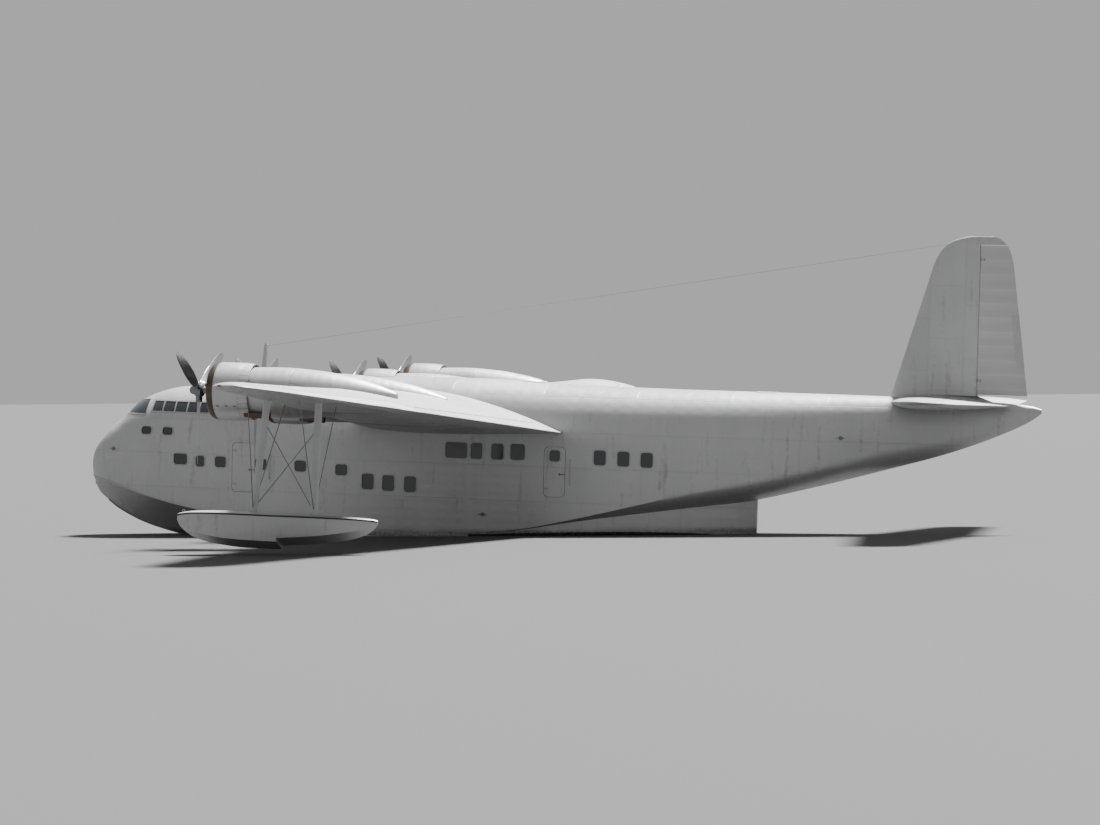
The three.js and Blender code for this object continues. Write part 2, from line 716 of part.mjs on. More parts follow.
function floatStruts(floatBody, wing) {
  const foot = ({ low }, rise = 0) => place(FLOAT.side, low, FLOAT.keel + STRUT.foot + rise);
  const head = ({ high }, aside = 0) => place(FLOAT.side + aside, high, STRUT.head);
  const cross = ({ high }) => place(FLOAT.side, high, FLOAT.keel + STAY.crossTop);
  const stay = (from, to) => bar(from, to, STAY.radius, STAY.radius, STAY.segments);
  const bars = [];
  for (const strut of STRUTS) {
    bars.push(bar(foot(strut), head(strut), STRUT.radius, STRUT.radius, STRUT.segments, STRUT.squash));
    for (const aside of [-STAY.spread, STAY.spread])
      bars.push(stay(foot(strut, STAY.rise), head(strut, aside)));
  }
  const [front, rear] = STRUTS;
  bars.push(stay(foot(front, STAY.rise), cross(rear)));
  bars.push(stay(foot(rear, STAY.rise), cross(front)));
  return bars
    .reduce((sum, next) => sum.add(next))
    .subtract(floatBody.translate([0, 0, SEAT_GAP]))
    .subtract(wing.translate([0, 0, -SEAT_GAP]))
    .decompose()
    .sort((a, b) => b.volume() - a.volume())[0];
}

// Flight-deck glazing and the hull doors are let into the hull's skin. A door turns about its forward outer
// edge, on hinges that stand a little proud.
const GLASS_DEPTH = 40;
const DOOR_DEPTH = 55;
const DOOR_GAP = 10;
const DOOR_SEAT = 0.6;
const HINGE_PROUD = 8;
const GLAZING = {
  windscreen_port: { side: [25, 1250], station: [1040, 1950], height: [3880, 4340] },
  windscreen_starboard: { side: [-1250, -25], station: [1040, 1950], height: [3880, 4340] },
  deck_side_window_port: { side: [500, 1600], station: [2080, 4150], height: [3960, 4310] },
  deck_side_window_starboard: { side: [-1600, -500], station: [2080, 4150], height: [3960, 4310] },
};
const DOORS = {
  door_forward_port: { side: [1300, 1700], station: [4640, 5300], height: [1850, 3200] },
  door_aft_port: { side: [1300, 1700], station: [13590, 14170], height: [2050, 3400] },
  door_freight_starboard: { side: [-1700, -1300], station: [4640, 5500], height: [1850, 3200] },
};

const regionBox = ({ side, station, height }, grow) =>
  box(
    place(side[0] - grow, station[0] - grow, height[0] - grow),
    place(side[1] + grow, station[1] + grow, height[1] + grow),
  );

// Builds and names every piece
const group = new THREE.Group();
const boat = new THREE.Group();
boat.rotation.x = -THREE.MathUtils.degToRad(TRIM_DEG);
group.add(boat);

function add(name, solid, look) {
  const material = new THREE.MeshStandardMaterial(COLOURS[look]);
  const mesh = new THREE.Mesh(geometryOf(solid), material);
  mesh.name = name;
  boat.add(mesh);
}

const body = hullBody();
const bodyUnderGlass = hullBody(GLASS_DEPTH);
const bodyUnderDoor = hullBody(DOOR_DEPTH);
const tail = tailSet();
let hull = body.add(afterbody()).add(wingCentre()).add(finFoot()).add(tail.root).add(mirrored(tail.root));

for (const [name, region] of Object.entries(GLAZING)) {
  hull = hull.subtract(regionBox(region, SEAT_GAP).subtract(bodyUnderGlass));
  const pane = body
    .intersect(regionBox(region, 0))
    .subtract(bodyUnderGlass.translate([0, 0, SEAT_GAP]).add(bodyUnderGlass.translate([0, -SEAT_GAP, 0])))
    .subtract(bodyUnderGlass.translate([region.side[0] < 0 ? -SEAT_GAP : SEAT_GAP, 0, 0]));
  add(name, pane, "glass");
}
hinges.doors = {};
for (const [name, region] of Object.entries(DOORS)) {
  hull = hull.subtract(regionBox(region, DOOR_GAP).subtract(bodyUnderDoor));
  const out = region.side[0] < 0 ? -1 : 1;
  const backing = bodyUnderDoor.translate([out * DOOR_SEAT, 0, 0]);
  const leaf = body.intersect(regionBox(region, 0)).subtract(backing);
  add(name, leaf, "silver");
  const widest = out > 0 ? leaf.boundingBox().max[0] : leaf.boundingBox().min[0];
  const forward = region.station[0] - STEP_STATION;
  hinges.doors[name] = [new THREE.Vector3(widest + out * HINGE_PROUD, forward, 0), out];
}
add("hull", hull, "silver");

const set = wingSet();
let wing = set.wing;
for (const engine of ENGINE_LAYOUT.filter(({ side }) => side > 0))
  wing = wing.subtract(nacelleSolid(engine, SEAT_GAP));
const floatBody = floatSolid();
const portPieces = {
  wing: [wing, "silver"],
  wing_tip: [wingTipPiece(), "silver"],
  aileron: [set.aileron, "fabric"],
  flap: [set.flap, "silver"],
  tailplane: [tail.tailplane, "silver"],
  elevator: [tail.elevator, "fabric"],
  float: [floatBody, "silver"],
  float_struts: [floatStruts(floatBody, wing), "strut"],
};
for (const [name, [solid, look]] of Object.entries(portPieces)) {
  add(name + "_port", solid, look);
  add(name + "_starboard", mirrored(solid), look);
}

const finParts = finSet();
add("fin", finParts.main, "silver");
add("rudder", finParts.moving, "fabric");

for (const engine of ENGINE_LAYOUT) {
  const { number } = engine;
  add("nacelle_" + number, nacelleSolid(engine), "silver");
  add("cowling_" + number, cowlSolid(engine), "cowl");
  add("engine_" + number, engineSolid(engine), "engine");
  add("exhaust_pipe_" + number, exhaustSolid(engine), "exhaust");
  add("propeller_" + number, propellerSolid(engine), "propeller");
}

// The aerial mast stands on the roof behind the flight deck, raked a little aft.
const MAST = { station: 4950, rake: 60, foot: 4700, top: 5930, radius: 110, tip: 55, squash: 0.45 };
const MAST_SEGMENTS = 12;
const mastFoot = place(0, MAST.station, MAST.foot);
const mastTop = place(0, MAST.station + MAST.rake, MAST.top);
const mast = bar(mastFoot, mastTop, MAST.radius, MAST.tip, MAST_SEGMENTS, MAST.squash);
add("aerial_mast", mast.subtract(hull.translate([0, 0, SEAT_GAP])), "strut");

// Hinge lines of the port side before the trim, from their inner or lower end to the other.
group.userData.hinges = hinges;

export default group;
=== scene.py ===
# %% [markdown]
# # A four-engined flying boat, finished in Blender
#
# The frame holds the boat's real sizes, its moving pieces and their hinges. This script gives it its looks:
# a smooth plated hull, tapered wings, engines with cooling fins, glazing, doors, lamps and the finish of
# each. Like a boat's own drawings, it counts **stations** aft from the nose and **heights** up from the
# keel at the main step, both in millimetres. The boat floats a little nose up, so each finished piece is
# tilted once.

# %% Load the frame
import json
import math

import bmesh
import bpy
import numpy as np
from mathutils import Matrix, Vector

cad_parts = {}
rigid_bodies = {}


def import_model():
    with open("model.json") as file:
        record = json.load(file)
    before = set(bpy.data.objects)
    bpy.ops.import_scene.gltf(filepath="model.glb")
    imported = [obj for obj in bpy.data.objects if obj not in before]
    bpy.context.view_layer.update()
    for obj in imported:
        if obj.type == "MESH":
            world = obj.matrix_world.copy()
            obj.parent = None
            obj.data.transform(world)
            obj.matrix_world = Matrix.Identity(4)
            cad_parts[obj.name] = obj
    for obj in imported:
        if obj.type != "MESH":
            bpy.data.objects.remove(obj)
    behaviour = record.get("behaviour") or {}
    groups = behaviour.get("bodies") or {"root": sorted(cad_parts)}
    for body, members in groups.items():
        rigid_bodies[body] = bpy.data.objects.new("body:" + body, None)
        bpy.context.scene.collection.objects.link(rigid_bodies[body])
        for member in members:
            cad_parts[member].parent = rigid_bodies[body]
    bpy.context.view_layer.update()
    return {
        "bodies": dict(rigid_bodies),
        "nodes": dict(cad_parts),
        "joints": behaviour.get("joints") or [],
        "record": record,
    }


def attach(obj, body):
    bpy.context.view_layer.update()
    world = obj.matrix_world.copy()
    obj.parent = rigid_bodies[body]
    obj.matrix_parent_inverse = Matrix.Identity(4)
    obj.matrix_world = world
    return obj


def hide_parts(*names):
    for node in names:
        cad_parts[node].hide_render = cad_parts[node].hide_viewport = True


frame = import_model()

scene = bpy.context.scene

# %% [markdown]
# ## Places
#
# Blender works in metres. One function turns a side, a station and a height into a point in metres, and one
# matrix holds the trim. A finished piece keeps its place in its mesh, so its object stays at the origin.

# %% Stations and heights
MM = 0.001
STEP_STATION = 11500
DRAUGHT = 890
TRIM_DEG = 2.4
TRIM = Matrix.Rotation(-math.radians(TRIM_DEG), 4, "X")


def place(side, station, height):
    """A point in metres, before the trim."""
    return Vector((side, station - STEP_STATION, height - DRAUGHT)) * MM


def mix(a, b, t):
    return a + (b - a) * t


PORT, AFT, UP = Vector((1, 0, 0)), Vector((0, 1, 0)), Vector((0, 0, 1))
SIDES = {1: "port", -1: "starboard"}
print("the step's foot is at", place(0, STEP_STATION, 0))

# %% [markdown]
# ## The camera
#
# The photograph was taken from the shore, to port and a little behind the beam, about 107 m away and close
# to the height of the wing. The lens here is longer than the photograph's, so that the boat fills the
# frame, but it stands at the same place, so the perspective is the same.

# %% Camera at the photograph's place
CAMERA_AT = TRIM @ place(103500, 41710, 6330)
AIM_AT = TRIM @ place(0, 13300, 4300)
CAMERA_ROLL_DEG = 0.65
LENS_MM = 128

camera = bpy.data.objects.new("camera", bpy.data.cameras.new("camera"))
scene.collection.objects.link(camera)
camera.data.lens = LENS_MM
camera.data.sensor_width = 36
camera.data.clip_end = 2000
camera.location = CAMERA_AT
look = (AIM_AT - CAMERA_AT).to_track_quat("-Z", "Y")
camera.rotation_mode = "QUATERNION"
camera.rotation_quaternion = look @ Matrix.Rotation(-math.radians(CAMERA_ROLL_DEG), 3, "Z").to_quaternion()
scene.camera = camera
print("camera is", round((AIM_AT - CAMERA_AT).length, 1), "m away")

# %% [markdown]
# ## Making and cutting meshes
#
# Nearly every surface here is a **loft**: a row of outlines with equally many points, skinned with quads. A
# boolean then cuts what hinges, slides or opens out of the whole, so that both sides of a joint keep one
# surface. The helpers below make a loft, a bar and a turned body, and cut or join them.

# %% Lofts
MERGE_WITHIN, SHARD_UNDER = 1e-6, 1e-7


def new_object(name, mesh):
    piece = bpy.data.objects.new(name, mesh)
    scene.collection.objects.link(piece)
    return piece


def tidy(piece):
    """Merges doubled points and turns every face outwards."""
    work = bmesh.new()
    work.from_mesh(piece.data)
    bmesh.ops.remove_doubles(work, verts=work.verts, dist=MERGE_WITHIN)
    bmesh.ops.dissolve_degenerate(work, edges=work.edges, dist=SHARD_UNDER)
    bmesh.ops.recalc_face_normals(work, faces=work.faces)
    work.to_mesh(piece.data)
    work.free()
    return piece


def loft(name, rings, ring_closed=False):
    """A closed skin over rings. With ring_closed the last ring joins the first, as in a hoop."""
    count = len(rings[0])
    total = len(rings)
    faces = []
    for r in range(total if ring_closed else total - 1):
        a, b = r * count, (r + 1) % total * count
        faces += [[a + i, a + (i + 1) % count, b + (i + 1) % count, b + i] for i in range(count)]
    if not ring_closed:
        faces.append(list(range(count)))
        faces.append([(total - 1) * count + i for i in reversed(range(count))])
    mesh = bpy.data.meshes.new(name)
    mesh.from_pydata([tuple(p) for ring in rings for p in ring], [], faces)
    return tidy(new_object(name, mesh))


print("points within", MERGE_WITHIN, "m of each other become one")

# %% Bars, turned bodies and blocks


def square_to(axis, way):
    """The part of a way that is square to an axis, one metre long."""
    return (way - axis * axis.dot(way)).normalized()


def circle(centre, axis, radius, segments, squash=1.0):
    """Points round an axis. Squash flattens them sideways."""
    side = square_to(axis, UP if abs(axis.x) > 0.9 else PORT)
    other = axis.cross(side)
    turns = [2 * math.pi * i / segments for i in range(segments)]
    return [centre + side * (math.cos(t) * radius * squash) + other * (math.sin(t) * radius) for t in turns]


def bar(name, start, end, radius_start, radius_end, segments=24, squash=1.0):
    """A round bar between two points in metres. Radii are in millimetres."""
    axis = (end - start).normalized()
    rings = [circle(start, axis, radius_start * MM, segments, squash)]
    rings.append(circle(end, axis, radius_end * MM, segments, squash))
    return loft(name, rings)


def turned(name, profile, side, height, segments, ring_closed=False):
    """A body turned about a line along the boat. The profile holds (station, radius) pairs."""
    turns = [2 * math.pi * (i + 0.5) / segments for i in range(segments)]
    rings = []
    for station, radius in profile:
        spokes = [(radius * math.cos(t), radius * math.sin(t)) for t in turns]
        rings.append([place(side + x, station, height + z) for x, z in spokes])
    return loft(name, rings, ring_closed)


def block(name, low, high):
    """A box between two (side, station, height) corners."""
    corners = [[low[0], low[1]], [high[0], low[1]], [high[0], high[1]], [low[0], high[1]]]
    return loft(name, [[place(x, y, z) for x, y in corners] for z in (low[2], high[2])])


print("a circle of four:", [tuple(point) for point in circle(Vector(), AFT, 1, 4)])

# %% Cutting, copying and joining


def bake_modifiers(piece):
    """Replaces a piece's mesh by what its modifiers make of it."""
    graph = bpy.context.evaluated_depsgraph_get()
    mesh = bpy.data.meshes.new_from_object(piece.evaluated_get(graph))
    piece.modifiers.clear()
    old, piece.data = piece.data, mesh
    bpy.data.meshes.remove(old)
    return piece


def carve(piece, tools, operation="DIFFERENCE"):
    """Cuts, joins or crosses a piece with tools, and removes the tools."""
    for tool in tools:
        modifier = piece.modifiers.new("carve", "BOOLEAN")
        modifier.operation = operation
        modifier.solver = "MANIFOLD"
        modifier.material_mode = "TRANSFER"
        modifier.object = tool
    bake_modifiers(piece)
    for tool in tools:
        bpy.data.objects.remove(tool)
    return piece


def copy_of(piece, name):
    return new_object(name, piece.data.copy())


def mirrored(piece, name):
    """The same piece on the other side of the boat."""
    twin = copy_of(piece, name)
    twin.data.transform(Matrix.Scale(-1, 4, PORT))
    return tidy(twin)


def joined(name, pieces):
    """Several objects as one mesh, with their faces as they are."""
    work = bmesh.new()
    materials = []
    for piece in pieces:
        start = len(work.faces)
        work.from_mesh(piece.data)
        work.faces.ensure_lookup_table()
        for material in piece.data.materials:
            if material not in materials:
                materials.append(material)
        slots = [materials.index(m) for m in piece.data.materials]
        for face in work.faces[start:]:
            face.material_index = slots[face.material_index] if slots else 0
        bpy.data.objects.remove(piece)
    mesh = bpy.data.meshes.new(name)
    work.to_mesh(mesh)
    work.free()
    for material in materials:
        mesh.materials.append(material)
    return new_object(name, mesh)


print("meshes so far:", len(bpy.data.meshes))

# %% [markdown]
# ## Shader maths as Python
#
# A material here reads like a formula. `Value` wraps a socket, and its operators add Math nodes, also with
# a plain number on the left. `Nodes` adds nodes to a tree, each from its type, its settings and what goes
# into its sockets. `Finish` is one material, and `Recipe`, further down, makes geometry.

# %% A small language for materials


class Value:
    def __init__(self, nodes, socket):
        self.nodes, self.socket = nodes, socket

    def __add__(self, other):
        return self.nodes.math("ADD", self, other)

    def __mul__(self, other):
        return self.nodes.math("MULTIPLY", self, other)

    def __sub__(self, other):
        return self.nodes.math("SUBTRACT", self, other)

    def __rsub__(self, other):
        return self.nodes.math("SUBTRACT", other, self)

    def __truediv__(self, other):
        return self.nodes.math("DIVIDE", self, other)

    __radd__, __rmul__ = __add__, __mul__


class Nodes:
    """A node tree, and the methods that add nodes to it."""

    def node(self, kind, settings=None, sockets=None):
        made = self.tree.nodes.new(kind)
        for key, value in (settings or {}).items():
            setattr(made, key, value)
        for key, value in (sockets or {}).items():
            self.feed(made.inputs[key], value)
        return made

    def feed(self, socket, value):
        if isinstance(value, Value):
            self.tree.links.new(value.socket, socket)
        else:
            socket.default_value = value

    def value(self, node, output=0):
        return Value(self, node.outputs[output])

    def math(self, operation, *values):
        return self.value(self.node("ShaderNodeMath", {"operation": operation}, dict(enumerate(values))))


class Finish(Nodes):
    """One material, built from a Principled shader."""

    def __init__(self, name, **sockets):
        self.material = bpy.data.materials.new(name)
        self.material.use_nodes = True
        self.tree = self.material.node_tree
        self.tree.nodes.clear()
        self.shader = self.node("ShaderNodeBsdfPrincipled")
        self.node("ShaderNodeOutputMaterial", None, {"Surface": self.value(self.shader, "BSDF")})
        self.set(**sockets)

    def set(self, **sockets):
        """Sets the shader's sockets, such as base_color or coat_weight."""
        for key, value in sockets.items():
            self.feed(self.shader.inputs[key.replace("_", " ").title()], value)

    def mix(self, factor, a, b):
        made = self.node("ShaderNodeMix", {"data_type": "RGBA"}, {0: factor, 6: a, 7: b})
        return self.value(made, 2)

    def scaled(self, colour, by):
        """A colour made lighter or darker."""
        return self.value(self.node("ShaderNodeVectorMath", {"operation": "SCALE"}, {0: colour, "Scale": by}))

    def fade(self, value, low, high):
        """0 below low and 1 above high, smooth between. Low may be the larger one."""
        sockets = {"Value": value, "From Min": low, "From Max": high}
        return self.value(self.node("ShaderNodeMapRange", {"interpolation_type": "SMOOTHSTEP"}, sockets))

    def noise(self, vector, scale, detail=3.0, stretch=(1, 1, 1), rough=0.55):
        spread = self.node("ShaderNodeMapping", None, {"Vector": vector, "Scale": stretch})
        sockets = {"Vector": self.value(spread), "Scale": scale, "Detail": detail, "Roughness": rough}
        return self.value(self.node("ShaderNodeTexNoise", None, sockets))

    def chance(self, a, b):
        """A fixed random number for each pair of whole numbers."""
        pair = self.node("ShaderNodeCombineXYZ", None, {"X": a, "Y": b})
        settings = {"noise_dimensions": "2D"}
        return self.value(self.node("ShaderNodeTexWhiteNoise", settings, {"Vector": self.value(pair)}))

    def bump(self, height, distance, strength=1.0, under=None):
        sockets = {"Height": height, "Distance": distance, "Strength": strength}
        if under:
            sockets["Normal"] = under
        return self.value(self.node("ShaderNodeBump", None, sockets))

    def axes(self):
        """The level place on the boat, and its side, station and height in metres."""
        object_place = self.value(self.node("ShaderNodeTexCoord"), "Object")
        sockets = {"Vector": object_place, "Rotation": (math.radians(TRIM_DEG), 0, 0)}
        sockets["Location"] = (0, STEP_STATION * MM, DRAUGHT * MM)
        level = self.value(self.node("ShaderNodeMapping", None, sockets))
        parts = self.node("ShaderNodeSeparateXYZ", None, {"Vector": level})
        return level, *(self.value(parts, i) for i in range(3))

    def afloat(self):
        """The height above the water in metres."""
        object_place = self.value(self.node("ShaderNodeTexCoord"), "Object")
        return self.value(self.node("ShaderNodeSeparateXYZ", None, {"Vector": object_place}), "Z")


def to_nearest(finish, value, pitch):
    """How far a value is from the nearest multiple of the pitch."""
    return finish.math("PINGPONG", value, pitch / 2)


print("a Value can be used with", [name for name in vars(Value) if name.startswith("__r")], "too")

# %% [markdown]
# ## Silver paint over riveted plates
#
# The boat's skin is thin light-alloy plate, lapped and riveted to frames and stringers, under aluminium
# paint. Close up it shows seams, rows of rivets and a slight quilting between frames; from afar, plates of
# slightly different tone and soft streaks. Rivets are made as meshes only where they stand in rows by an
# edge, and the thousands of others are bump.

# %% Finishes for the skin
# All in metres. A pair is where a smooth step starts and where it is full.
SOOT_SIDES = (8.73, 4.33)
SOOT_BESIDE, SOOT_START, SOOT_END, SOOT_TOP = (0.4, 0.05), (8.1, 8.5), (13.0, 8.6), (4.75, 4.3)
WET_BAND = (0.24, 0.08)
FRAME_PITCH, STRINGER_PITCH = 0.5, 0.25
RIVET_PITCH, RIVET_INSET, RIVET_EDGE, SEAM_EDGE = 0.05, 0.03, (0.011, 0.004), (0.009, 0.002)


def sooty(finish, side, station, height):
    """Where the exhaust blows along the lower outboard side of each nacelle."""
    off_centre = finish.math("ABSOLUTE", side)
    gaps = [finish.math("ABSOLUTE", off_centre - soot_side) for soot_side in SOOT_SIDES]
    soot = finish.fade(finish.math("MINIMUM", *gaps), *SOOT_BESIDE)
    soot = soot * finish.fade(station, *SOOT_START) * finish.fade(station, *SOOT_END)
    return soot * finish.fade(height, *SOOT_TOP)


def plated(name, tone, along, up, plate=(2.6, 0.95), metallic=0.5, soot=False, seams=0.16):
    """Silver paint on plates. Along and up name the axes, 0 side, 1 station and 2 height, of the seams."""
    finish = Finish(name, metallic=metallic)
    level, *axes = finish.axes()
    a, b = axes[along], axes[up]
    row = finish.math("FLOOR", b / plate[1])
    shifted = a + row * (plate[0] * 0.37)
    column = finish.math("FLOOR", shifted / plate[0])
    seam_a = to_nearest(finish, shifted, plate[0])
    seam_b = to_nearest(finish, b, plate[1])
    seam = finish.fade(finish.math("MINIMUM", seam_a, seam_b), *SEAM_EDGE)
    frames = finish.fade(to_nearest(finish, a, FRAME_PITCH), 0.0, FRAME_PITCH / 2)
    stringers = finish.fade(to_nearest(finish, b, STRINGER_PITCH), 0.0, STRINGER_PITCH / 2)
    dots = []
    for along_seam, from_seam in ((b, seam_a), (shifted, seam_b)):
        one_way = to_nearest(finish, along_seam, RIVET_PITCH)
        other_way = finish.math("ABSOLUTE", from_seam - RIVET_INSET)
        dots.append(one_way * one_way + other_way * other_way)
    rivets = finish.fade(finish.math("SQRT", finish.math("MINIMUM", *dots)), *RIVET_EDGE)
    soft = finish.noise(level, 0.7, 4)
    fine = finish.noise(level, 9.0, 4)
    streaks = finish.noise(level, 1.6, 4, stretch=(1.0, 3.2, 0.35))
    luck = finish.chance(column, row)
    wet = finish.fade(finish.afloat() + (soft - 0.5) * 0.2, *WET_BAND)
    shade = 1 + (luck - 0.5) * 0.05 + (soft - 0.5) * 0.2 + (streaks - 0.5) * 0.14
    shade = shade - seam * seams - rivets * 0.06
    dirty = finish.fade(streaks + fine * 0.35, 0.72, 0.98) * 0.45
    if soot:
        dirty = finish.math("MAXIMUM", dirty, sooty(finish, *axes) * (0.45 + streaks * 0.8))
    base = [tone, tone * 1.005, tone * 1.01, 1]
    worn = [tone * 0.5, tone * 0.48, tone * 0.45, 1]
    finish.set(base_color=finish.scaled(finish.mix(dirty, base, worn), shade - wet * 0.45))
    finish.set(roughness=0.42 + (fine - 0.5) * 0.16 + (luck - 0.5) * 0.06 + dirty * 0.25 - wet * 0.16)
    waves = finish.bump(frames * stringers + finish.noise(level, 1.1, 2) * 0.8, 0.004, 0.6)
    finish.set(normal=finish.bump(rivets * 0.6 - seam, 0.0025, 0.7, under=waves))
    return finish.material


SILVER = 0.45
hull_skin = plated("hull_silver_plates", SILVER, 1, 2)
wing_skin = plated("wing_silver_plates", SILVER * 1.02, 0, 1, plate=(2.2, 1.1), soot=True, seams=0.34)
tail_skin = plated("fin_silver_plates", SILVER, 2, 1, plate=(1.4, 0.95))
# The planing bottom is darker: partly its own paint, partly painted shade of the dark water that it faces.
bottom_paint_and_shade = plated("planing_bottom_paint_and_painted_shade", 0.34, 1, 2, plate=(2.4, 0.6), metallic=0.1)
print("plated finishes:", [material.name for material in (hull_skin, wing_skin, tail_skin, bottom_paint_and_shade)])

# %% Plain finishes, and doped fabric


def simple(name, colour, roughness, metallic=0.0, grain=12.0, spread=0.12, depth=0.0006, **sockets):
    """A plain finish with some grain, so that no surface is one flat tone."""
    finish = Finish(name, metallic=metallic, **sockets)
    level, *_ = finish.axes()
    speckle = finish.noise(level, grain, 5)
    broad = finish.noise(level, grain / 8, 2)
    shade = 1 + (speckle - 0.5) * spread * 2 + (broad - 0.5) * spread * 2
    finish.set(base_color=finish.scaled(colour, shade), roughness=roughness + (speckle - 0.5) * 0.18)
    finish.set(normal=finish.bump(speckle, depth, 0.5))
    return finish.material


RIB_PITCH, TAPE_EDGE = 0.38, (0.028, 0.022)


def doped_fabric(name, rib_axis):
    """Silver-doped fabric over ribs: it sags a little between them, and a tape lies over each rib."""
    finish = Finish(name, metallic=0.25)
    level, *axes = finish.axes()
    gap = to_nearest(finish, axes[rib_axis], RIB_PITCH)
    tape = finish.fade(gap, *TAPE_EDGE)
    sag_and_shade = finish.fade(gap, 0.0, RIB_PITCH / 2)
    weave = finish.noise(level, 60.0, 3)
    broad = finish.noise(level, 1.3, 3)
    # The middle of each bay is painted a little darker: painted shade of the sag.
    shade = 1 + tape * 0.05 + (broad - 0.5) * 0.14 + (weave - 0.5) * 0.05 - sag_and_shade * 0.04
    finish.set(base_color=finish.scaled((0.47, 0.475, 0.47), shade))
    finish.set(roughness=0.55 + (weave - 0.5) * 0.15 - tape * 0.06)
    finish.set(normal=finish.bump(tape * 0.15 - sag_and_shade + weave * 0.02, 0.012, 0.8))
    return finish.material


fin_fabric = doped_fabric("rudder_fabric", 2)
wing_fabric = doped_fabric("control_surface_fabric", 0)
glass = simple("window_glass", (0.018, 0.022, 0.026), 0.07, 0.0, 3.0, 0.1, 0.0002, coat_weight=0.6)
frame_metal = simple("glazing_bar_paint", (0.36, 0.365, 0.365), 0.4, 0.6)
# Pockets, the cuts round the glass and the walls behind the engines take this near-black painted shade.
painted_recess_shade = simple("recess_painted_shade", (0.09, 0.1, 0.095), 0.6)
cowl_paint = simple("cowl_silver_paint", (0.5, 0.5, 0.5), 0.36, 0.6, 5.0, 0.08)
burnt_steel = simple("collector_burnt_steel", (0.105, 0.08, 0.063), 0.44, 0.8, 7.0, 0.35)
exhaust_steel = simple("exhaust_pipe_rust", (0.12, 0.085, 0.062), 0.6, 0.7, 9.0, 0.4)
soot = simple("pipe_soot", (0.02, 0.019, 0.018), 0.85)
casting = simple("crankcase_casting", (0.2, 0.205, 0.21), 0.5, 0.7, 14.0)
fin_metal = simple("cylinder_fin_black", (0.055, 0.055, 0.058), 0.45, 0.6, 16.0)
rocker_metal = simple("rocker_box_alloy", (0.36, 0.365, 0.37), 0.4, 0.85, 18.0)
blade_metal = simple("propeller_blade_alloy", (0.33, 0.335, 0.34), 0.34, 0.85, 10.0, 0.1)
hub_metal = simple("propeller_hub_steel", (0.22, 0.22, 0.225), 0.35, 0.9, 20.0)
strut_paint = simple("strut_silver_paint", (0.42, 0.425, 0.425), 0.42, 0.5)
wire_steel = simple("streamline_wire_steel", (0.2, 0.2, 0.205), 0.4, 0.8)
# Black rubber; on the floats' deck edges its black is also painted shade.
black_rubber_and_edge_shade = simple("rubber_and_painted_edge_shade", (0.02, 0.02, 0.021), 0.7)
brass = simple("handle_brass", (0.3, 0.22, 0.11), 0.4, 0.9)
port_lamp = simple("port_lamp_glass", (0.32, 0.012, 0.01), 0.1, coat_weight=0.5)
starboard_lamp = simple("starboard_lamp_glass", (0.01, 0.2, 0.06), 0.1, coat_weight=0.5)
clear_lamp = simple("clear_lamp_glass", (0.5, 0.52, 0.52), 0.08, coat_weight=0.6)
print("finishes:", len(bpy.data.materials))

# %% [markdown]
# ## Handing a piece over
#
# A finished piece gets its material, is tilted to the trim, shaded smooth except over sharp edges, and tied
# to the body that it moves with. Where it stands for a piece of the frame, that piece is hidden.

# %% Finish a piece
SHARP_DEG, BLADE_SHARP_DEG = 28, 35


def paint(piece, *materials):
    piece.data.materials.clear()
    for material in materials:
        piece.data.materials.append(material)
    return piece


def hand_over(piece, material=None, body="hull", stands_for=(), sharp=SHARP_DEG):
    if material:
        paint(piece, material)
    piece.data.transform(TRIM)
    piece.data.shade_smooth()
    piece.data.set_sharp_from_angle(angle=math.radians(sharp))
    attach(piece, body)
    if stands_for:
        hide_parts(*stands_for)
    return piece


print("edges sharper than", SHARP_DEG, "degrees stay sharp")

# %% [markdown]
# ## The hull
#
# The real hull is drawn as a table of offsets: at each station the height and half-breadth of the keel, the
# chine, the widest part and the roof. A monotone cubic through each column makes the lines fair without
# bulges. Near the nose the breadths grow like the root of the station, so the curves run over the root.

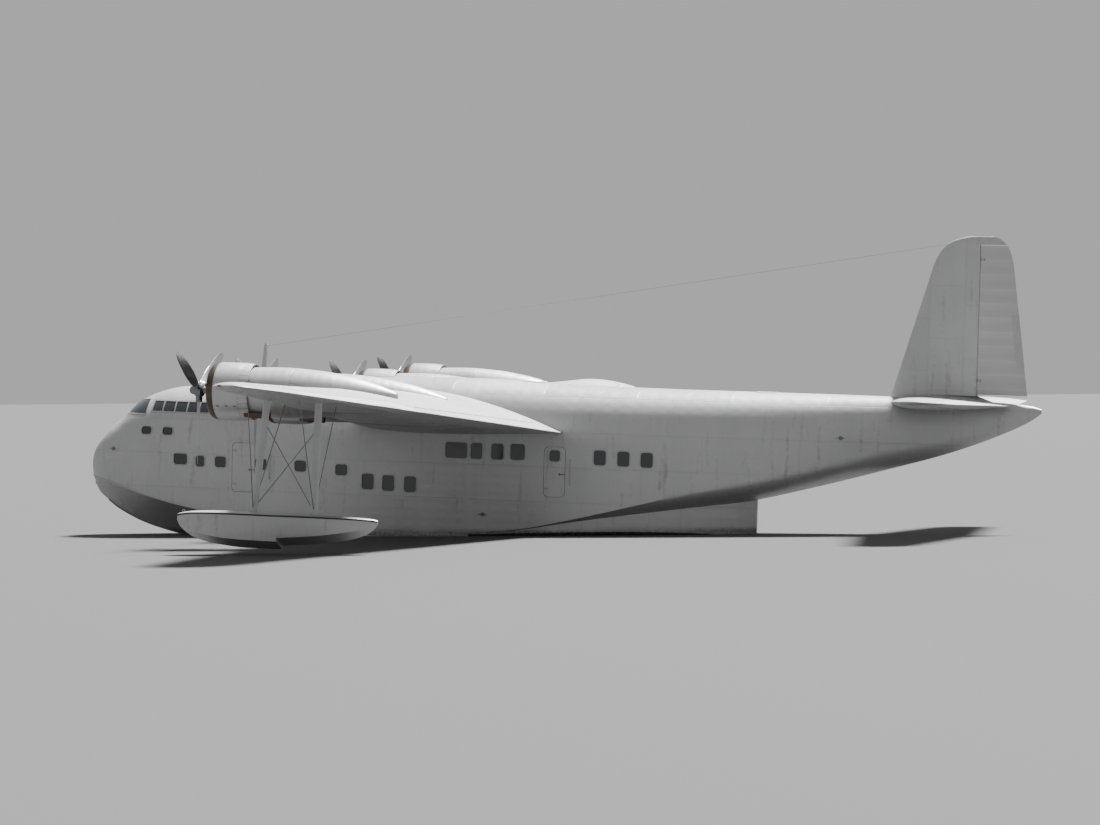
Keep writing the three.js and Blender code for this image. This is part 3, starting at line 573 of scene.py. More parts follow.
# %% Hull table and its fair lines
# Columns: station, keel height, chine height and half-breadth, shoulder height and half-breadth, top
# height, roundness of the bottom: 0 is a straight V to a hard chine, 1 an ellipse, less than 0 is hollow.
HULL_SECTIONS = [
    (0, 2280, 2285, 6, 2290, 8, 2300, 0),
    (12, 1990, 2150, 130, 2350, 170, 2590, 0),
    (60, 1780, 2100, 300, 2380, 380, 2770, 0),
    (150, 1640, 2070, 450, 2420, 590, 2940, 0),
    (400, 1430, 2010, 660, 2500, 880, 3280, -0.1),
    (700, 1215, 1950, 810, 2600, 1070, 3590, -0.15),
    (1050, 1030, 1870, 930, 2700, 1205, 3870, -0.2),
    (1400, 875, 1780, 1030, 2800, 1300, 4220, -0.25),
    (1900, 715, 1640, 1140, 2910, 1390, 4490, -0.25),
    (2600, 550, 1480, 1255, 3060, 1460, 4680, -0.25),
    (3400, 400, 1330, 1350, 3150, 1500, 4745, -0.2),
    (4500, 250, 1150, 1440, 3250, 1518, 4825, -0.15),
    (6000, 100, 960, 1500, 3350, 1525, 4940, -0.1),
    (7500, 0, 820, 1525, 3400, 1525, 5060, -0.05),
    (9000, 0, 760, 1525, 3400, 1525, 5140, 0),
    (10500, 0, 730, 1525, 3400, 1525, 5180, 0),
    (11500, 0, 720, 1520, 3400, 1520, 5180, 0),
    (11503, 500, 960, 1519, 3400, 1519, 5180, 0),
    (13000, 800, 1150, 1500, 3420, 1510, 5130, 0.2),
    (14500, 1130, 1480, 1465, 3450, 1485, 5085, 0.45),
    (16000, 1450, 1860, 1400, 3500, 1430, 5060, 0.7),
    (17500, 1780, 2260, 1305, 3560, 1345, 5050, 0.9),
    (19200, 2130, 2700, 1150, 3650, 1200, 5050, 1),
    (21000, 2590, 3180, 930, 3800, 980, 5050, 1),
    (22700, 3070, 3600, 690, 4010, 730, 5040, 1),
    (24400, 3580, 4010, 440, 4230, 460, 5015, 1),
    (25800, 4130, 4400, 230, 4550, 240, 4965, 1),
    (26600, 4540, 4680, 95, 4735, 100, 4890, 1),
    (26820, 4710, 4760, 30, 4770, 31, 4820, 1),
]
STEP_ROW = 17
BOTTOM_STEPS, SIDE_STEPS, ARCH_STEPS = 9, 8, 20
ARCH_POWER = 2.35


def fair(xs, ys):
    """A monotone cubic through the points: it never swings past them."""
    xs, ys = np.array(xs, float), np.array(ys, float)
    step = np.diff(xs)
    slope = np.diff(ys) / step
    tangent = np.zeros(len(xs))
    tangent[0], tangent[-1] = slope[0], slope[-1]
    for i in range(1, len(xs) - 1):
        if slope[i - 1] * slope[i] > 0:
            w1, w2 = 2 * step[i] + step[i - 1], step[i] + 2 * step[i - 1]
            tangent[i] = (w1 + w2) / (w1 / slope[i - 1] + w2 / slope[i])

    def at(x):
        i = min(max(int(np.searchsorted(xs, x)) - 1, 0), len(step) - 1)
        t = (x - xs[i]) / step[i]
        bend = (1 + 2 * t) * (1 - t) ** 2 * ys[i] + t * t * (3 - 2 * t) * ys[i + 1]
        return float(bend + step[i] * (t * (1 - t) ** 2 * tangent[i] + t * t * (t - 1) * tangent[i + 1]))

    return at


def fair_columns(rows):
    """A curve for each column of a table whose first column is the station, over the station's root."""
    stations, *columns = zip(*rows)
    roots = [math.sqrt(station) for station in stations]
    return [fair(roots, column) for column in columns]


LINES_AHEAD = fair_columns(HULL_SECTIONS[:STEP_ROW])
LINES_BEHIND = fair_columns(HULL_SECTIONS[STEP_ROW:])
LINES_ABOVE = fair_columns(HULL_SECTIONS)
print("the roof over the step is", round(LINES_ABOVE[5](math.sqrt(STEP_STATION))), "mm above the keel")

# %% Outlines of the hull, and its skin
FORE_STEPS, AFT_STEPS = 96, 84
PAST_TAIL = 27000


def hull_half(station, inset=0):
    """Half an outline of the hull, from the keel up to the roof, as (side, height) pairs."""
    root = math.sqrt(station)
    below = LINES_AHEAD if station <= STEP_STATION else LINES_BEHIND
    keel, chine_height, chine = (line(root) for line in below[:3])
    shoulder_height, shoulder, top = (line(root) for line in LINES_ABOVE[3:6])
    rounding = below[6](root)
    chine, shoulder = max(chine - inset, 5), max(shoulder - inset, 6)
    keel += inset
    points = []
    for i in range(BOTTOM_STEPS + 1):
        t = i / BOTTOM_STEPS
        angle = t * math.pi / 2
        across = t + rounding * (math.sin(angle) - t)
        up = t + rounding * (1 - math.cos(angle) - t)
        points.append((chine * across, keel + (chine_height - keel) * up))
    for i in range(1, SIDE_STEPS + 1):
        t = i / SIDE_STEPS
        points.append((mix(chine, shoulder, t), mix(chine_height, shoulder_height, t)))
    for i in range(1, ARCH_STEPS + 1):
        angle = i / ARCH_STEPS * math.pi / 2
        side = shoulder * max(math.cos(angle), 0) ** (2 / ARCH_POWER)
        up = math.sin(angle) ** (2 / ARCH_POWER)
        points.append((side, shoulder_height + (top - inset - shoulder_height) * up))
    points[-1] = (0, points[-1][1])
    return points


def whole_ring(half):
    return half + [(-side, height) for side, height in reversed(half[1:-1])]


NOSE, TAIL_END = math.sqrt(HULL_SECTIONS[0][0]), math.sqrt(HULL_SECTIONS[-1][0])
AT_STEP, PAST_STEP = math.sqrt(STEP_STATION), math.sqrt(HULL_SECTIONS[STEP_ROW][0])
HULL_STATIONS = [mix(NOSE, AT_STEP, i / FORE_STEPS) ** 2 for i in range(FORE_STEPS + 1)]
HULL_STATIONS += [mix(PAST_STEP, TAIL_END, i / AFT_STEPS) ** 2 for i in range(AFT_STEPS + 1)]


def hull_loft(name, inset=0, start=0, end=PAST_TAIL):
    """The hull's body, pulled in by an inset, between two stations."""
    wanted = [s for s in HULL_STATIONS if start < s < end]
    wanted = ([start] if start > 0 else []) + wanted + ([end] if end < TAIL_END**2 else [])
    rings = [[place(x, s, z) for x, z in whole_ring(hull_half(s, inset))] for s in wanted]
    return loft(name, rings)


def skin_side(station, height):
    """The hull's half-breadth at a station and a height."""
    half = hull_half(station)
    for (x0, z0), (x1, z1) in zip(half, half[1:]):
        if z0 <= height <= z1 and z1 > z0:
            return mix(x0, x1, (height - z0) / (z1 - z0))
    return 0


print("the hull is lofted over", len(HULL_STATIONS), "stations")

# %% The planing bottom behind the step
# Columns: station, keel height, chine height and half-breadth, height where its wall is lost in the hull.
AFTERBODY_SECTIONS = [
    (11501, 240, 940, 1505, 1200),
    (13000, 385, 1030, 1440, 1400),
    (14500, 530, 1110, 1290, 1650),
    (16000, 675, 1170, 1040, 1950),
    (17500, 820, 1190, 700, 2250),
    (18600, 925, 1140, 330, 2450),
    (19200, 985, 1040, 45, 2600),
]


AFTERBODY_STEPS, AFTERBODY_BOTTOM_STEPS = 40, 4
AFTERBODY_POINTS = 2 * (AFTERBODY_BOTTOM_STEPS + 2)


def afterbody():
    stations, *columns = zip(*AFTERBODY_SECTIONS)
    lines = [fair(stations, column) for column in columns]
    rings = []
    for i in range(AFTERBODY_STEPS + 1):
        station = mix(stations[0], stations[-1], i / AFTERBODY_STEPS)
        keel, chine, half, wall = (line(station) for line in lines)
        ring = []
        for t in np.linspace(0, 1, AFTERBODY_BOTTOM_STEPS + 1):
            ring.append((half * t, keel + (chine - keel) * (t * 0.8 + t * t * 0.2)))
        ring += [(half, wall), (0, wall)]
        rings.append([place(x, station, z) for x, z in whole_ring(ring)])
    return loft("afterbody", rings)


PAINT_TOP = 2150
RING_POINTS = 2 * (BOTTOM_STEPS + SIDE_STEPS + ARCH_STEPS)


def darken_bottom(piece, ring_points, steps, end):
    """Gives the faces below the chine of a fresh loft, ahead of an end, the bottom's paint and painted shade.
    """
    paint(piece, hull_skin, bottom_paint_and_shade, painted_recess_shade)
    limit = place(0, end, PAINT_TOP)
    for face in piece.data.polygons:
        if len(face.vertices) == 4 and face.center.y < limit.y and face.center.z < limit.z:
            numbers = [v % ring_points for v in face.vertices]
            face.material_index = int(all(n <= steps or n >= ring_points - steps for n in numbers))
    return piece


hull = darken_bottom(hull_loft("hull_shell"), RING_POINTS, BOTTOM_STEPS, STEP_STATION)
after = darken_bottom(afterbody(), AFTERBODY_POINTS, AFTERBODY_BOTTOM_STEPS, AFTERBODY_SECTIONS[-1][0])
print("hull:", len(hull.data.polygons), "faces; afterbody:", len(after.data.polygons))

# %% [markdown]
# ## Wings, tail and their hinged surfaces
#
# Each lifting surface is one closed loft of airfoil sections, from which the aileron, flap, elevator or
# rudder is parted along the frame's own hinge lines. The nose of a hinged part is a cone about its hinge
# line, and the well that it turns in is the same cone with a running gap, which stays even at every angle.

# %% Airfoils and ribs
AIRFOIL_STEPS, FINE_STEPS = 30, 200
CROWN = 0.38


def airfoil(thickness, camber, steps=AIRFOIL_STEPS):
    """Points of unit chord from the trailing edge over the top to the nose and back below."""
    top, below = [], []
    for i in range(steps + 1):
        x = (1 - math.cos(i / steps * math.pi)) / 2
        curve = 0.2969 * math.sqrt(x) - 0.126 * x - 0.3516 * x**2 + 0.2843 * x**3 - 0.1016 * x**4
        half = 5 * thickness * curve
        if x < CROWN:
            bow = camber / CROWN**2 * (2 * CROWN * x - x**2)
        else:
            bow = camber / (1 - CROWN) ** 2 * (1 - 2 * CROWN + 2 * CROWN * x - x**2)
        top.append((x, bow + half))
        below.append((x, bow - half))
    return top[::-1] + below[1:]


# A rib is a row of such a table: leading is the nose's station, trailing the trailing edge's height.
RIB_COLUMNS = ("side", "leading", "chord", "trailing", "pitch", "thickness", "camber")
WING_ROOT = dict(zip(RIB_COLUMNS, (1600, 7990, 6060, 3790, 0.061, 0.195, 0.035)))
WING_TIP = dict(zip(RIB_COLUMNS, (16200, 9480, 2140, 4845, 0.045, 0.1, 0.03)))
TAIL_ROOT = dict(zip(RIB_COLUMNS, (450, 22900, 3120, 4890, 0, 0.115, 0)))
TAIL_TIP = dict(zip(RIB_COLUMNS, (6000, 23860, 1680, 4965, 0, 0.1, 0)))
HALF_SPAN, TAIL_HALF_SPAN = 17375, 6550
SEAT_GAP, RUNNING_GAP, END_GAP = 0.3, 14, 22


def rib_at(root, tip, side):
    t = (side - root["side"]) / (tip["side"] - root["side"])
    return {key: mix(root[key], tip[key], t) for key in root} | {"side": side}


def rib_points(rib, steps=AIRFOIL_STEPS):
    pitch, chord = rib["pitch"], rib["chord"]
    points = []
    for x, z in airfoil(rib["thickness"], rib["camber"], steps):
        station = rib["leading"] + x * chord + z * chord * math.sin(pitch)
        height = rib["trailing"] + (1 - x) * chord * math.sin(pitch) + z * chord
        points.append(place(rib["side"], station, height))
    return points


def loft_ribs(name, ribs, steps=AIRFOIL_STEPS):
    return loft(name, [rib_points(rib, steps) for rib in ribs])


def heights_at(thickness, camber, share):
    """The upper and the lower height of an airfoil at a share of its chord, as shares too."""
    outline = airfoil(thickness, camber, FINE_STEPS)
    sides = outline[: FINE_STEPS + 1], outline[FINE_STEPS:]
    return [min(points, key=lambda point: abs(point[0] - share))[1] for points in sides]


def rib_middle(rib, share):
    """The middle of a rib's section at a share of its chord, and half its thickness there, in millimetres."""
    upper, lower = heights_at(rib["thickness"], rib["camber"], share)
    chord, pitch = rib["chord"], rib["pitch"]
    level = rib["trailing"] + (1 - share) * chord * math.sin(pitch) + (upper + lower) / 2 * chord
    return place(rib["side"], rib["leading"] + share * chord, level), (upper - lower) / 2 * chord


TIP_STEPS = 16
TIP_MIDDLE, TIP_BLUNT, TIP_RISE = 0.48, 0.04, 0.02


def tip_ribs(root, tip, start, end):
    """A rounded tip: the chord shrinks along a quarter ellipse towards the end."""
    ribs = [rib_at(root, tip, start)]
    for i in range(1, TIP_STEPS + 1):
        angle = i / TIP_STEPS * math.pi / 2
        share = max(math.cos(angle), TIP_BLUNT)
        rib = rib_at(root, tip, start + math.sin(angle) * (end - start))
        lost = rib["chord"] * (1 - share)
        rib["trailing"] += lost * 0.5 * math.sin(rib["pitch"]) + lost * TIP_RISE
        rib["leading"] += lost * TIP_MIDDLE
        rib["chord"] *= share
        ribs.append(rib)
    return ribs


print("half the span:", HALF_SPAN, "mm; chords:", WING_ROOT["chord"], "to", WING_TIP["chord"])

# %% Parting a hinged surface from its main surface
BRACKET_SHARES, BRACKET_HALF, BRACKET_EYE, BRACKET_ROOM, BRACKET_ARM = (0.1, 0.9), 35, 0.8, 8, 80
SLAB_REACH, SLAB_DEEP = 2.6, 0.7
NOSE_SEGMENTS, EYE_SEGMENTS = 48, 32


def spread(start, end, by):
    """The two ends of a line, moved apart by a length in millimetres."""
    axis = (end - start).normalized() * by * MM
    return start - axis, end + axis


def hinge_slab(start, end, grow):
    """A slab behind a hinge line, longer by grow at each end."""
    a, b = spread(start, end, grow)
    axis = (end - start).normalized()
    back = square_to(axis, AFT)
    up = axis.cross(back)
    corners = [(0, -1), (1, -1), (1, 1), (0, 1)]
    rings = [[p + back * (x * SLAB_REACH) + up * (z * SLAB_DEEP) for x, z in corners] for p in (a, b)]
    return loft("slab", rings)


def hinge_bracket(centre, axis, radius):
    """An eye on the hinge line, with an arm forward into the main surface."""
    half = axis * BRACKET_HALF * MM
    eye = bar("eye", centre - half, centre + half, radius * BRACKET_EYE, radius * BRACKET_EYE, EYE_SEGMENTS)
    back = square_to(axis, AFT)
    up = axis.cross(back) * (radius / 2 * MM)
    front = back * (-(radius + BRACKET_ARM) * MM)
    rings = [[centre + end + p for p in (-up, front - up, front + up, up)] for end in (-half, half)]
    return [eye, loft("arm", rings)]


def part(whole, name, start, end, radius_start, radius_end):
    """Returns the main surface and the hinged one."""
    axis = (end - start).normalized()
    well = bar("well", start, end, radius_start + RUNNING_GAP, radius_end + RUNNING_GAP, NOSE_SEGMENTS)
    main = carve(copy_of(whole, "main"), [carve(hinge_slab(start, end, 0), [well], "UNION")])
    a, b = spread(start, end, -END_GAP)
    nose = bar("nose", a, b, radius_start, radius_end, NOSE_SEGMENTS)
    moving = carve(whole, [carve(hinge_slab(start, end, -END_GAP), [nose], "UNION")], "INTERSECT")
    moving.name = name
    for share in BRACKET_SHARES:
        centre = start.lerp(end, share)
        radius = mix(radius_start, radius_end, share)
        half = axis * (BRACKET_HALF + 1) * MM
        slot_radius = radius + BRACKET_ROOM
        carve(moving, [bar("slot", centre - half, centre + half, slot_radius, slot_radius, EYE_SEGMENTS)])
        carve(main, hinge_bracket(centre, axis, radius), "UNION")
    return main, moving


def part_at(whole, name, rib_of, share, sides):
    """Parts a surface along the line at a share of its chord, between two sides."""
    (a, half_a), (b, half_b) = (rib_middle(rib_of(side), share) for side in sides)
    return part(whole, name, a, b, half_a, half_b)


print("a hinged part has", RUNNING_GAP, "mm of room at its nose and", END_GAP, "mm at its ends")

# %% The wing, its aileron and its flap
WING_RIB_SIDES = [WING_ROOT["side"] + SEAT_GAP] + [mix(1600, 16200, i / 12) for i in range(1, 13)]
AILERON_SIDES, AILERON_SHARE = (9700, 16080), 0.79
# The flap turns on an arc: its centre's place and its radius are shares of the chord.
FLAP_SIDES, FLAP_CENTRE, FLAP_BELOW, FLAP_RADIUS = (2350, 9500), 0.883, 0.3, 0.332
FLAP_SEGMENTS = 240
GUIDE_SHARE, GUIDE_RADIUS, GUIDE_SUNK, GUIDE_SEGMENTS = 0.935, 20, 30, 20


def wing_rib(side):
    return rib_at(WING_ROOT, WING_TIP, side)


def flap_arc(side):
    rib = wing_rib(side)
    chord = rib["chord"]
    height = rib["trailing"] + (1 - FLAP_CENTRE) * chord * math.sin(rib["pitch"]) - FLAP_BELOW * chord
    return place(side, rib["leading"] + FLAP_CENTRE * chord, height), FLAP_RADIUS * chord


def port_wing():
    whole = loft_ribs("wing_whole", [wing_rib(side) for side in WING_RIB_SIDES])
    wing, aileron = part_at(whole, "aileron_port_skin", wing_rib, AILERON_SHARE, AILERON_SIDES)
    (a, radius_a), (b, radius_b) = (flap_arc(side) for side in FLAP_SIDES)
    inner, outer = spread(a, b, -END_GAP)
    half_gap = RUNNING_GAP / 2
    flap = copy_of(wing, "flap_port_skin")
    arc = bar("arc", inner, outer, radius_a - half_gap, radius_b - half_gap, FLAP_SEGMENTS)
    carve(flap, [arc], "INTERSECT")
    carve(wing, [bar("well", a, b, radius_a + half_gap, radius_b + half_gap, FLAP_SEGMENTS)])
    axis = (b - a).normalized()
    up = square_to(axis, UP)
    for end, radius, way in ((a, radius_a, 1), (b, radius_b, -1)):
        middle = end + up * (radius * GUIDE_SHARE * MM)
        foot = middle - axis * (way * GUIDE_SUNK * MM)
        reach = axis * (way * (END_GAP - SEAT_GAP) * MM)
        carve(wing, [bar("guide", foot, middle + reach, GUIDE_RADIUS, GUIDE_RADIUS, GUIDE_SEGMENTS)], "UNION")
    wing.name = "wing_port_skin"
    return {"wing": wing, "aileron": aileron, "flap": flap, "wing_tip": loft_ribs("wing_tip_skin", TIP_RIBS)}


TIP_RIBS = tip_ribs(WING_ROOT, WING_TIP, WING_TIP["side"] + SEAT_GAP, HALF_SPAN)
port = port_wing()
print("wing:", {key: len(piece.data.polygons) for key, piece in port.items()})

# %% The tailplane and its elevator
TAIL_RIB_SIDES = (250, 1200, 2200, 3100, 4100, 5100)
TAIL_JOINT = 620
ELEVATOR_SIDES, ELEVATOR_SHARE = (430, 6050), 0.6


def tail_rib(side):
    return rib_at(TAIL_ROOT, TAIL_TIP, side)


def tail_outboard(side):
    """A block that holds all of the tailplane outboard of a side."""
    return block("outboard", (side, 20000, 4000), (8000, 28000, 6000))


def port_tail():
    ribs = [tail_rib(side) for side in TAIL_RIB_SIDES]
    ribs += tip_ribs(TAIL_ROOT, TAIL_TIP, TAIL_TIP["side"], TAIL_HALF_SPAN)
    whole = loft_ribs("tail_whole", ribs)
    main, elevator = part_at(whole, "elevator_port_skin", tail_rib, ELEVATOR_SHARE, ELEVATOR_SIDES)
    root = carve(copy_of(main, "tail_root"), [tail_outboard(TAIL_JOINT)])
    return carve(main, [tail_outboard(TAIL_JOINT + SEAT_GAP)], "INTERSECT"), root, elevator


port["tailplane"], tail_root, port["elevator"] = port_tail()
print("tailplane:", {key: len(port[key].data.polygons) for key in ("tailplane", "elevator")})

# %% The fin and the rudder
FIN_FOOT, FIN_TOP, FIN_STRAIGHT = 5130, 9375, 8650
# Columns: height, leading-edge station, trailing-edge station, thickness share.
FIN_SECTIONS = [
    (FIN_FOOT, 22780, 26430, 0.115),
    (FIN_STRAIGHT, 23830, 25960, 0.1),
    (8990, 24010, 25860, 0.095),
    (9210, 24250, 25720, 0.09),
    (9335, 24570, 25540, 0.085),
    (FIN_TOP, 24850, 25380, 0.08),
]
FIN_STEPS, FIN_CROWN_STEPS = 10, 16
RUDDER_STATION, RUDDER_FOOT, RUDDER_TOP = 25130, FIN_FOOT + 12, 9160


def fin_ring(height, leading, trailing, thickness):
    chord = trailing - leading
    return [place(z * chord, leading + x * chord, height) for x, z in airfoil(thickness, 0)]


def fin_row(height):
    """The fin's outline at a height: straight up to the start of its round top, then fair to the crown."""
    if height <= FIN_STRAIGHT:
        t = (height - FIN_FOOT) / (FIN_STRAIGHT - FIN_FOOT)
        return [mix(a, b, t) for a, b in zip(FIN_SECTIONS[0][1:], FIN_SECTIONS[1][1:])]
    roots = [-math.sqrt(FIN_TOP - row[0]) for row in FIN_SECTIONS[1:]]
    at = -math.sqrt(FIN_TOP - height)
    return [fair(roots, [row[column] for row in FIN_SECTIONS[1:]])(at) for column in (1, 2, 3)]


def fin_half(height):
    """Half the fin's thickness at the rudder's hinge line."""
    leading, trailing, thickness = fin_row(height)
    share = (RUDDER_STATION - leading) / (trailing - leading)
    return heights_at(thickness, 0, share)[0] * (trailing - leading)


def fin_and_rudder():
    heights = [mix(FIN_FOOT + SEAT_GAP, FIN_STRAIGHT, i / FIN_STEPS) for i in range(FIN_STEPS + 1)]
    for i in range(1, FIN_CROWN_STEPS + 1):
        heights.append(FIN_TOP - (FIN_TOP - FIN_STRAIGHT) * (1 - i / FIN_CROWN_STEPS) ** 2)
    whole = loft("fin_whole", [fin_ring(h, *fin_row(h)) for h in heights])
    foot, top = place(0, RUDDER_STATION, RUDDER_FOOT), place(0, RUDDER_STATION, RUDDER_TOP)
    return part(whole, "rudder_skin", foot, top, fin_half(RUDDER_FOOT), fin_half(FIN_STRAIGHT))


fin, rudder = fin_and_rudder()
print("fin and rudder:", len(fin.data.polygons), len(rudder.data.polygons))

# %% [markdown]
# ## Putting the hull together
#
# The wing's centre section, the fin's foot and the tailplane's roots are built into the hull, so they are
# joined to it. Windows and doors are then sunk into the skin. `skin_slab` makes anything that follows the
# skin: it cuts a prism out of the shell between two lofts of the hull, one proud of the skin and one below.

# %% Join the fixed parts to the hull
# Columns: height, leading-edge station, trailing-edge station, thickness share.
FIN_FOOT_LOW = (4700, 22700, 26300, 0.1)
FIN_FOOT_HIGH = (FIN_FOOT, 22780, 25080, 0.18)
centre = loft_ribs("wing_centre", [WING_ROOT | {"side": way * WING_ROOT["side"]} for way in (-1, 1)])
fin_foot = loft("fin_foot", [fin_ring(*FIN_FOOT_LOW), fin_ring(*FIN_FOOT_HIGH)])
for extra in (centre, fin_foot, tail_root):
    paint(extra, hull_skin)
carve(hull, [after, centre, fin_foot, mirrored(tail_root, "other_root"), tail_root], "UNION")
print("joined hull:", len(hull.data.polygons), "faces")

# %% Outlines, prisms and slabs of skin
SKIN_REACH, ROOF_REACH, SLAB_ROOM = (250, 1800), (2700, 5600), 60


def rounded(station, height, width, tall, corner, steps=6):
    """A rectangle with round corners about a place on the boat's side, as (station, height) pairs."""
    points = []
    for turn, (x, z) in enumerate(((1, 1), (-1, 1), (-1, -1), (1, -1))):
        middle_x, middle_z = station + x * (width / 2 - corner), height + z * (tall / 2 - corner)
        for i in range(steps + 1):
            angle = (turn + i / steps) * math.pi / 2
            points.append((middle_x + corner * math.cos(angle), middle_z + corner * math.sin(angle)))
    return points


def prism(outline, way):
    """An outline in side view, drawn out to port (way 1) or starboard (-1), or in plan view, drawn up (0)."""
    if way:
        return loft("prism", [[place(way * x, s, z) for s, z in outline] for x in SKIN_REACH])
    return loft("prism", [[place(x, s, z) for s, x in outline] for z in ROOF_REACH])


def hull_near(outline, inset):
    """The hull's loft, pulled in by an inset, over the stations of an outline."""
    stations = [station for station, _ in outline]
    return hull_loft("near", inset, min(stations) - SLAB_ROOM, max(stations) + SLAB_ROOM)


def skin_slab(name, outline, way, outer, inner):
    """The part of the shell inside an outline, from outer below the skin, or proud if negative, to inner."""
    slab = carve(prism(outline, way), [hull_near(outline, outer)], "INTERSECT")
    carve(slab, [hull_near(outline, inner)])
    slab.name = name
    return slab


def pocket(outline, way, depth):
    """A tool that sinks an outline into the hull by a depth."""
    # Its walls are painted near-black as painted shade.
    return paint(carve(prism(outline, way), [hull_near(outline, depth)]), painted_recess_shade)


print("an outline with round corners has", len(rounded(0, 0, 2, 2, 0.5)), "points")

# %% [markdown]
# ## Windows
#
# The photograph shows small windows low along the forward cabin, three larger ones amidships, four high
# ones under the wing's trailing edge and three more behind them. Each is a pane of dark glass let into the
# side, with a raised rim round it. Starboard follows port, apart from its larger freight door.

# %% Cabin windows
# Columns: station, height, width, height of the pane.
PORT_WINDOWS = [
    (2030, 3450, 300, 210),
    (2690, 3450, 300, 210),
    (3090, 2690, 400, 300),
    (3680, 2650, 260, 300),
    (4290, 2650, 320, 300),
    (5480, 2630, 340, 300),
    (6640, 2620, 340, 300),
    (7830, 2560, 340, 300),
    (8600, 2270, 340, 430),
    (9190, 2250, 340, 430),
    (9820, 2240, 340, 430),
    (11110, 3220, 620, 430),
    (11680, 3220, 330, 430),
    (12270, 3220, 340, 430),
    (12840, 3230, 400, 430),
    (15130, 3150, 330, 400),
    (15780, 3140, 330, 400),
    (16420, 3130, 330, 400),
]
BEHIND_DOOR, FREIGHT_SHIFT = 5480, 260
WINDOW_CORNER = 75
WINDOW_DEPTH, GLASS_BACK, GLASS_FRONT = 26, 25, 13
RIM_WIDTH, RIM_PROUD, RIM_SUNK = 30, 8, 8


def window_set(way, station, height, width, tall, corner):
    """The pocket, the pane and the rim of one window."""
    outline = rounded(station, height, width, tall, corner)
    inside = rounded(station, height, width - 2, tall - 2, corner - 1)
    grown = rounded(station, height, width + 2 * RIM_WIDTH, tall + 2 * RIM_WIDTH, corner + RIM_WIDTH)
    pane = skin_slab("pane", inside, way, GLASS_FRONT, GLASS_BACK)
    rim = carve(skin_slab("rim", grown, way, -RIM_PROUD, RIM_SUNK), [prism(outline, way)])
    return pocket(outline, way, WINDOW_DEPTH), paint(pane, glass), paint(rim, frame_metal)


WINDOWS = [(1, *row) for row in PORT_WINDOWS]
for station, *rest in PORT_WINDOWS:
    WINDOWS.append((-1, station + FREIGHT_SHIFT * (station == BEHIND_DOOR), *rest))
sets = [window_set(*row, WINDOW_CORNER) for row in WINDOWS]
pockets, panes, rims = (list(pieces) for pieces in zip(*sets))
print("windows:", len(panes))

# %% [markdown]
# ## Doors
#
# A door leaf is the skin's own piece inside a rounded outline, as thick as the frame's leaf. It carries a
# handle and two hinge straps, the aft door also a small window, and everything on it rides with it when it
# swings out.

# %% Door leaves and their fittings
DOOR_DEPTH, DOOR_GAP, DOOR_CORNER, CORNER_STEPS = 55, 9, 120, 8
# Columns: way, station from and to, height from and to, station and height of the window.
DOORS = {
    "door_forward_port": (1, 4640, 5300, 1850, 3200, None),
    "door_aft_port": (1, 13590, 14170, 2050, 3400, (13880, 3160)),
    "door_freight_starboard": (-1, 4640, 5500, 1850, 3200, None),
}
DOOR_WINDOW = (290, 300, 75)
# The two panels pressed into a leaf's inner face: their heights as shares of the leaf, edge and depth.
DOOR_PANELS, PANEL_EDGE, PANEL_DEPTH, PANEL_CORNER = ((0.06, 0.46), (0.54, 0.94)), 75, 20, 70
STRAP_SHARES, STRAP_IN, STRAP_SIZE = (0.16, 0.84), 72, (124, 60, 28)
STRAP_PROUD, STRAP_SUNK = 7, 6
HANDLE_IN, HANDLE_DOWN, HANDLE_LENGTH, HANDLE_OFF, HANDLE_RADII = 150, 60, 170, 24, (11, 7.7)
BOSS_ENDS, BOSS_RADII = (-8, 30), (32, 26)


def door_outline(start, end, low, high, grow):
    """A door's outline, larger by grow on each side."""
    size = end - start + 2 * grow, high - low + 2 * grow
    return rounded((start + end) / 2, (low + high) / 2, *size, DOOR_CORNER + grow, CORNER_STEPS)


def handle(way, station, height):
    """A lever handle on a round boss, standing off the skin."""
    x = skin_side(station, height)
    ends = [place(way * (x + out), station, height) for out in BOSS_ENDS]
    grip = [place(way * (x + HANDLE_OFF), station + t * HANDLE_LENGTH, height + 2 * t) for t in (0, 1)]
    parts = bar("boss", *ends, *BOSS_RADII, 20), bar("lever", *grip, *HANDLE_RADII, 12)
    return [paint(piece, brass) for piece in parts]


for name, (way, *size, eye) in DOORS.items():
    start, end, low, high = size
    station, width, tall = (start + end) / 2, end - start, high - low
    pockets.append(pocket(door_outline(*size, DOOR_GAP), way, DOOR_DEPTH + 2))
    leaf = skin_slab(name + "_leaf", door_outline(*size, 0), way, 0, DOOR_DEPTH)
    # The leaf's cut faces take the near-black painted shade of the pockets.
    paint(leaf, hull_skin, painted_recess_shade)
    fittings = [leaf, *handle(way, end - HANDLE_IN, (low + high) / 2 - HANDLE_DOWN)]
    if eye:
        sunk, pane, rim = window_set(way, *eye, *DOOR_WINDOW)
        carve(leaf, [sunk])
        fittings += [pane, rim]
    for foot, top in DOOR_PANELS:
        panel = width - 2 * PANEL_EDGE, tall * (top - foot)
        panel = rounded(station, low + tall * (foot + top) / 2, *panel, PANEL_CORNER)
        panel = skin_slab("panel", panel, way, DOOR_DEPTH - PANEL_DEPTH, DOOR_DEPTH + 9)
        carve(leaf, [paint(panel, hull_skin)])
    for share in STRAP_SHARES:
        strap = rounded(start + STRAP_IN, low + tall * share, *STRAP_SIZE)
        fittings.append(paint(skin_slab("strap", strap, way, -STRAP_PROUD, STRAP_SUNK), frame_metal))
    hand_over(joined(name + "_leaf", fittings), None, name, (name,))
print("doors:", list(DOORS))

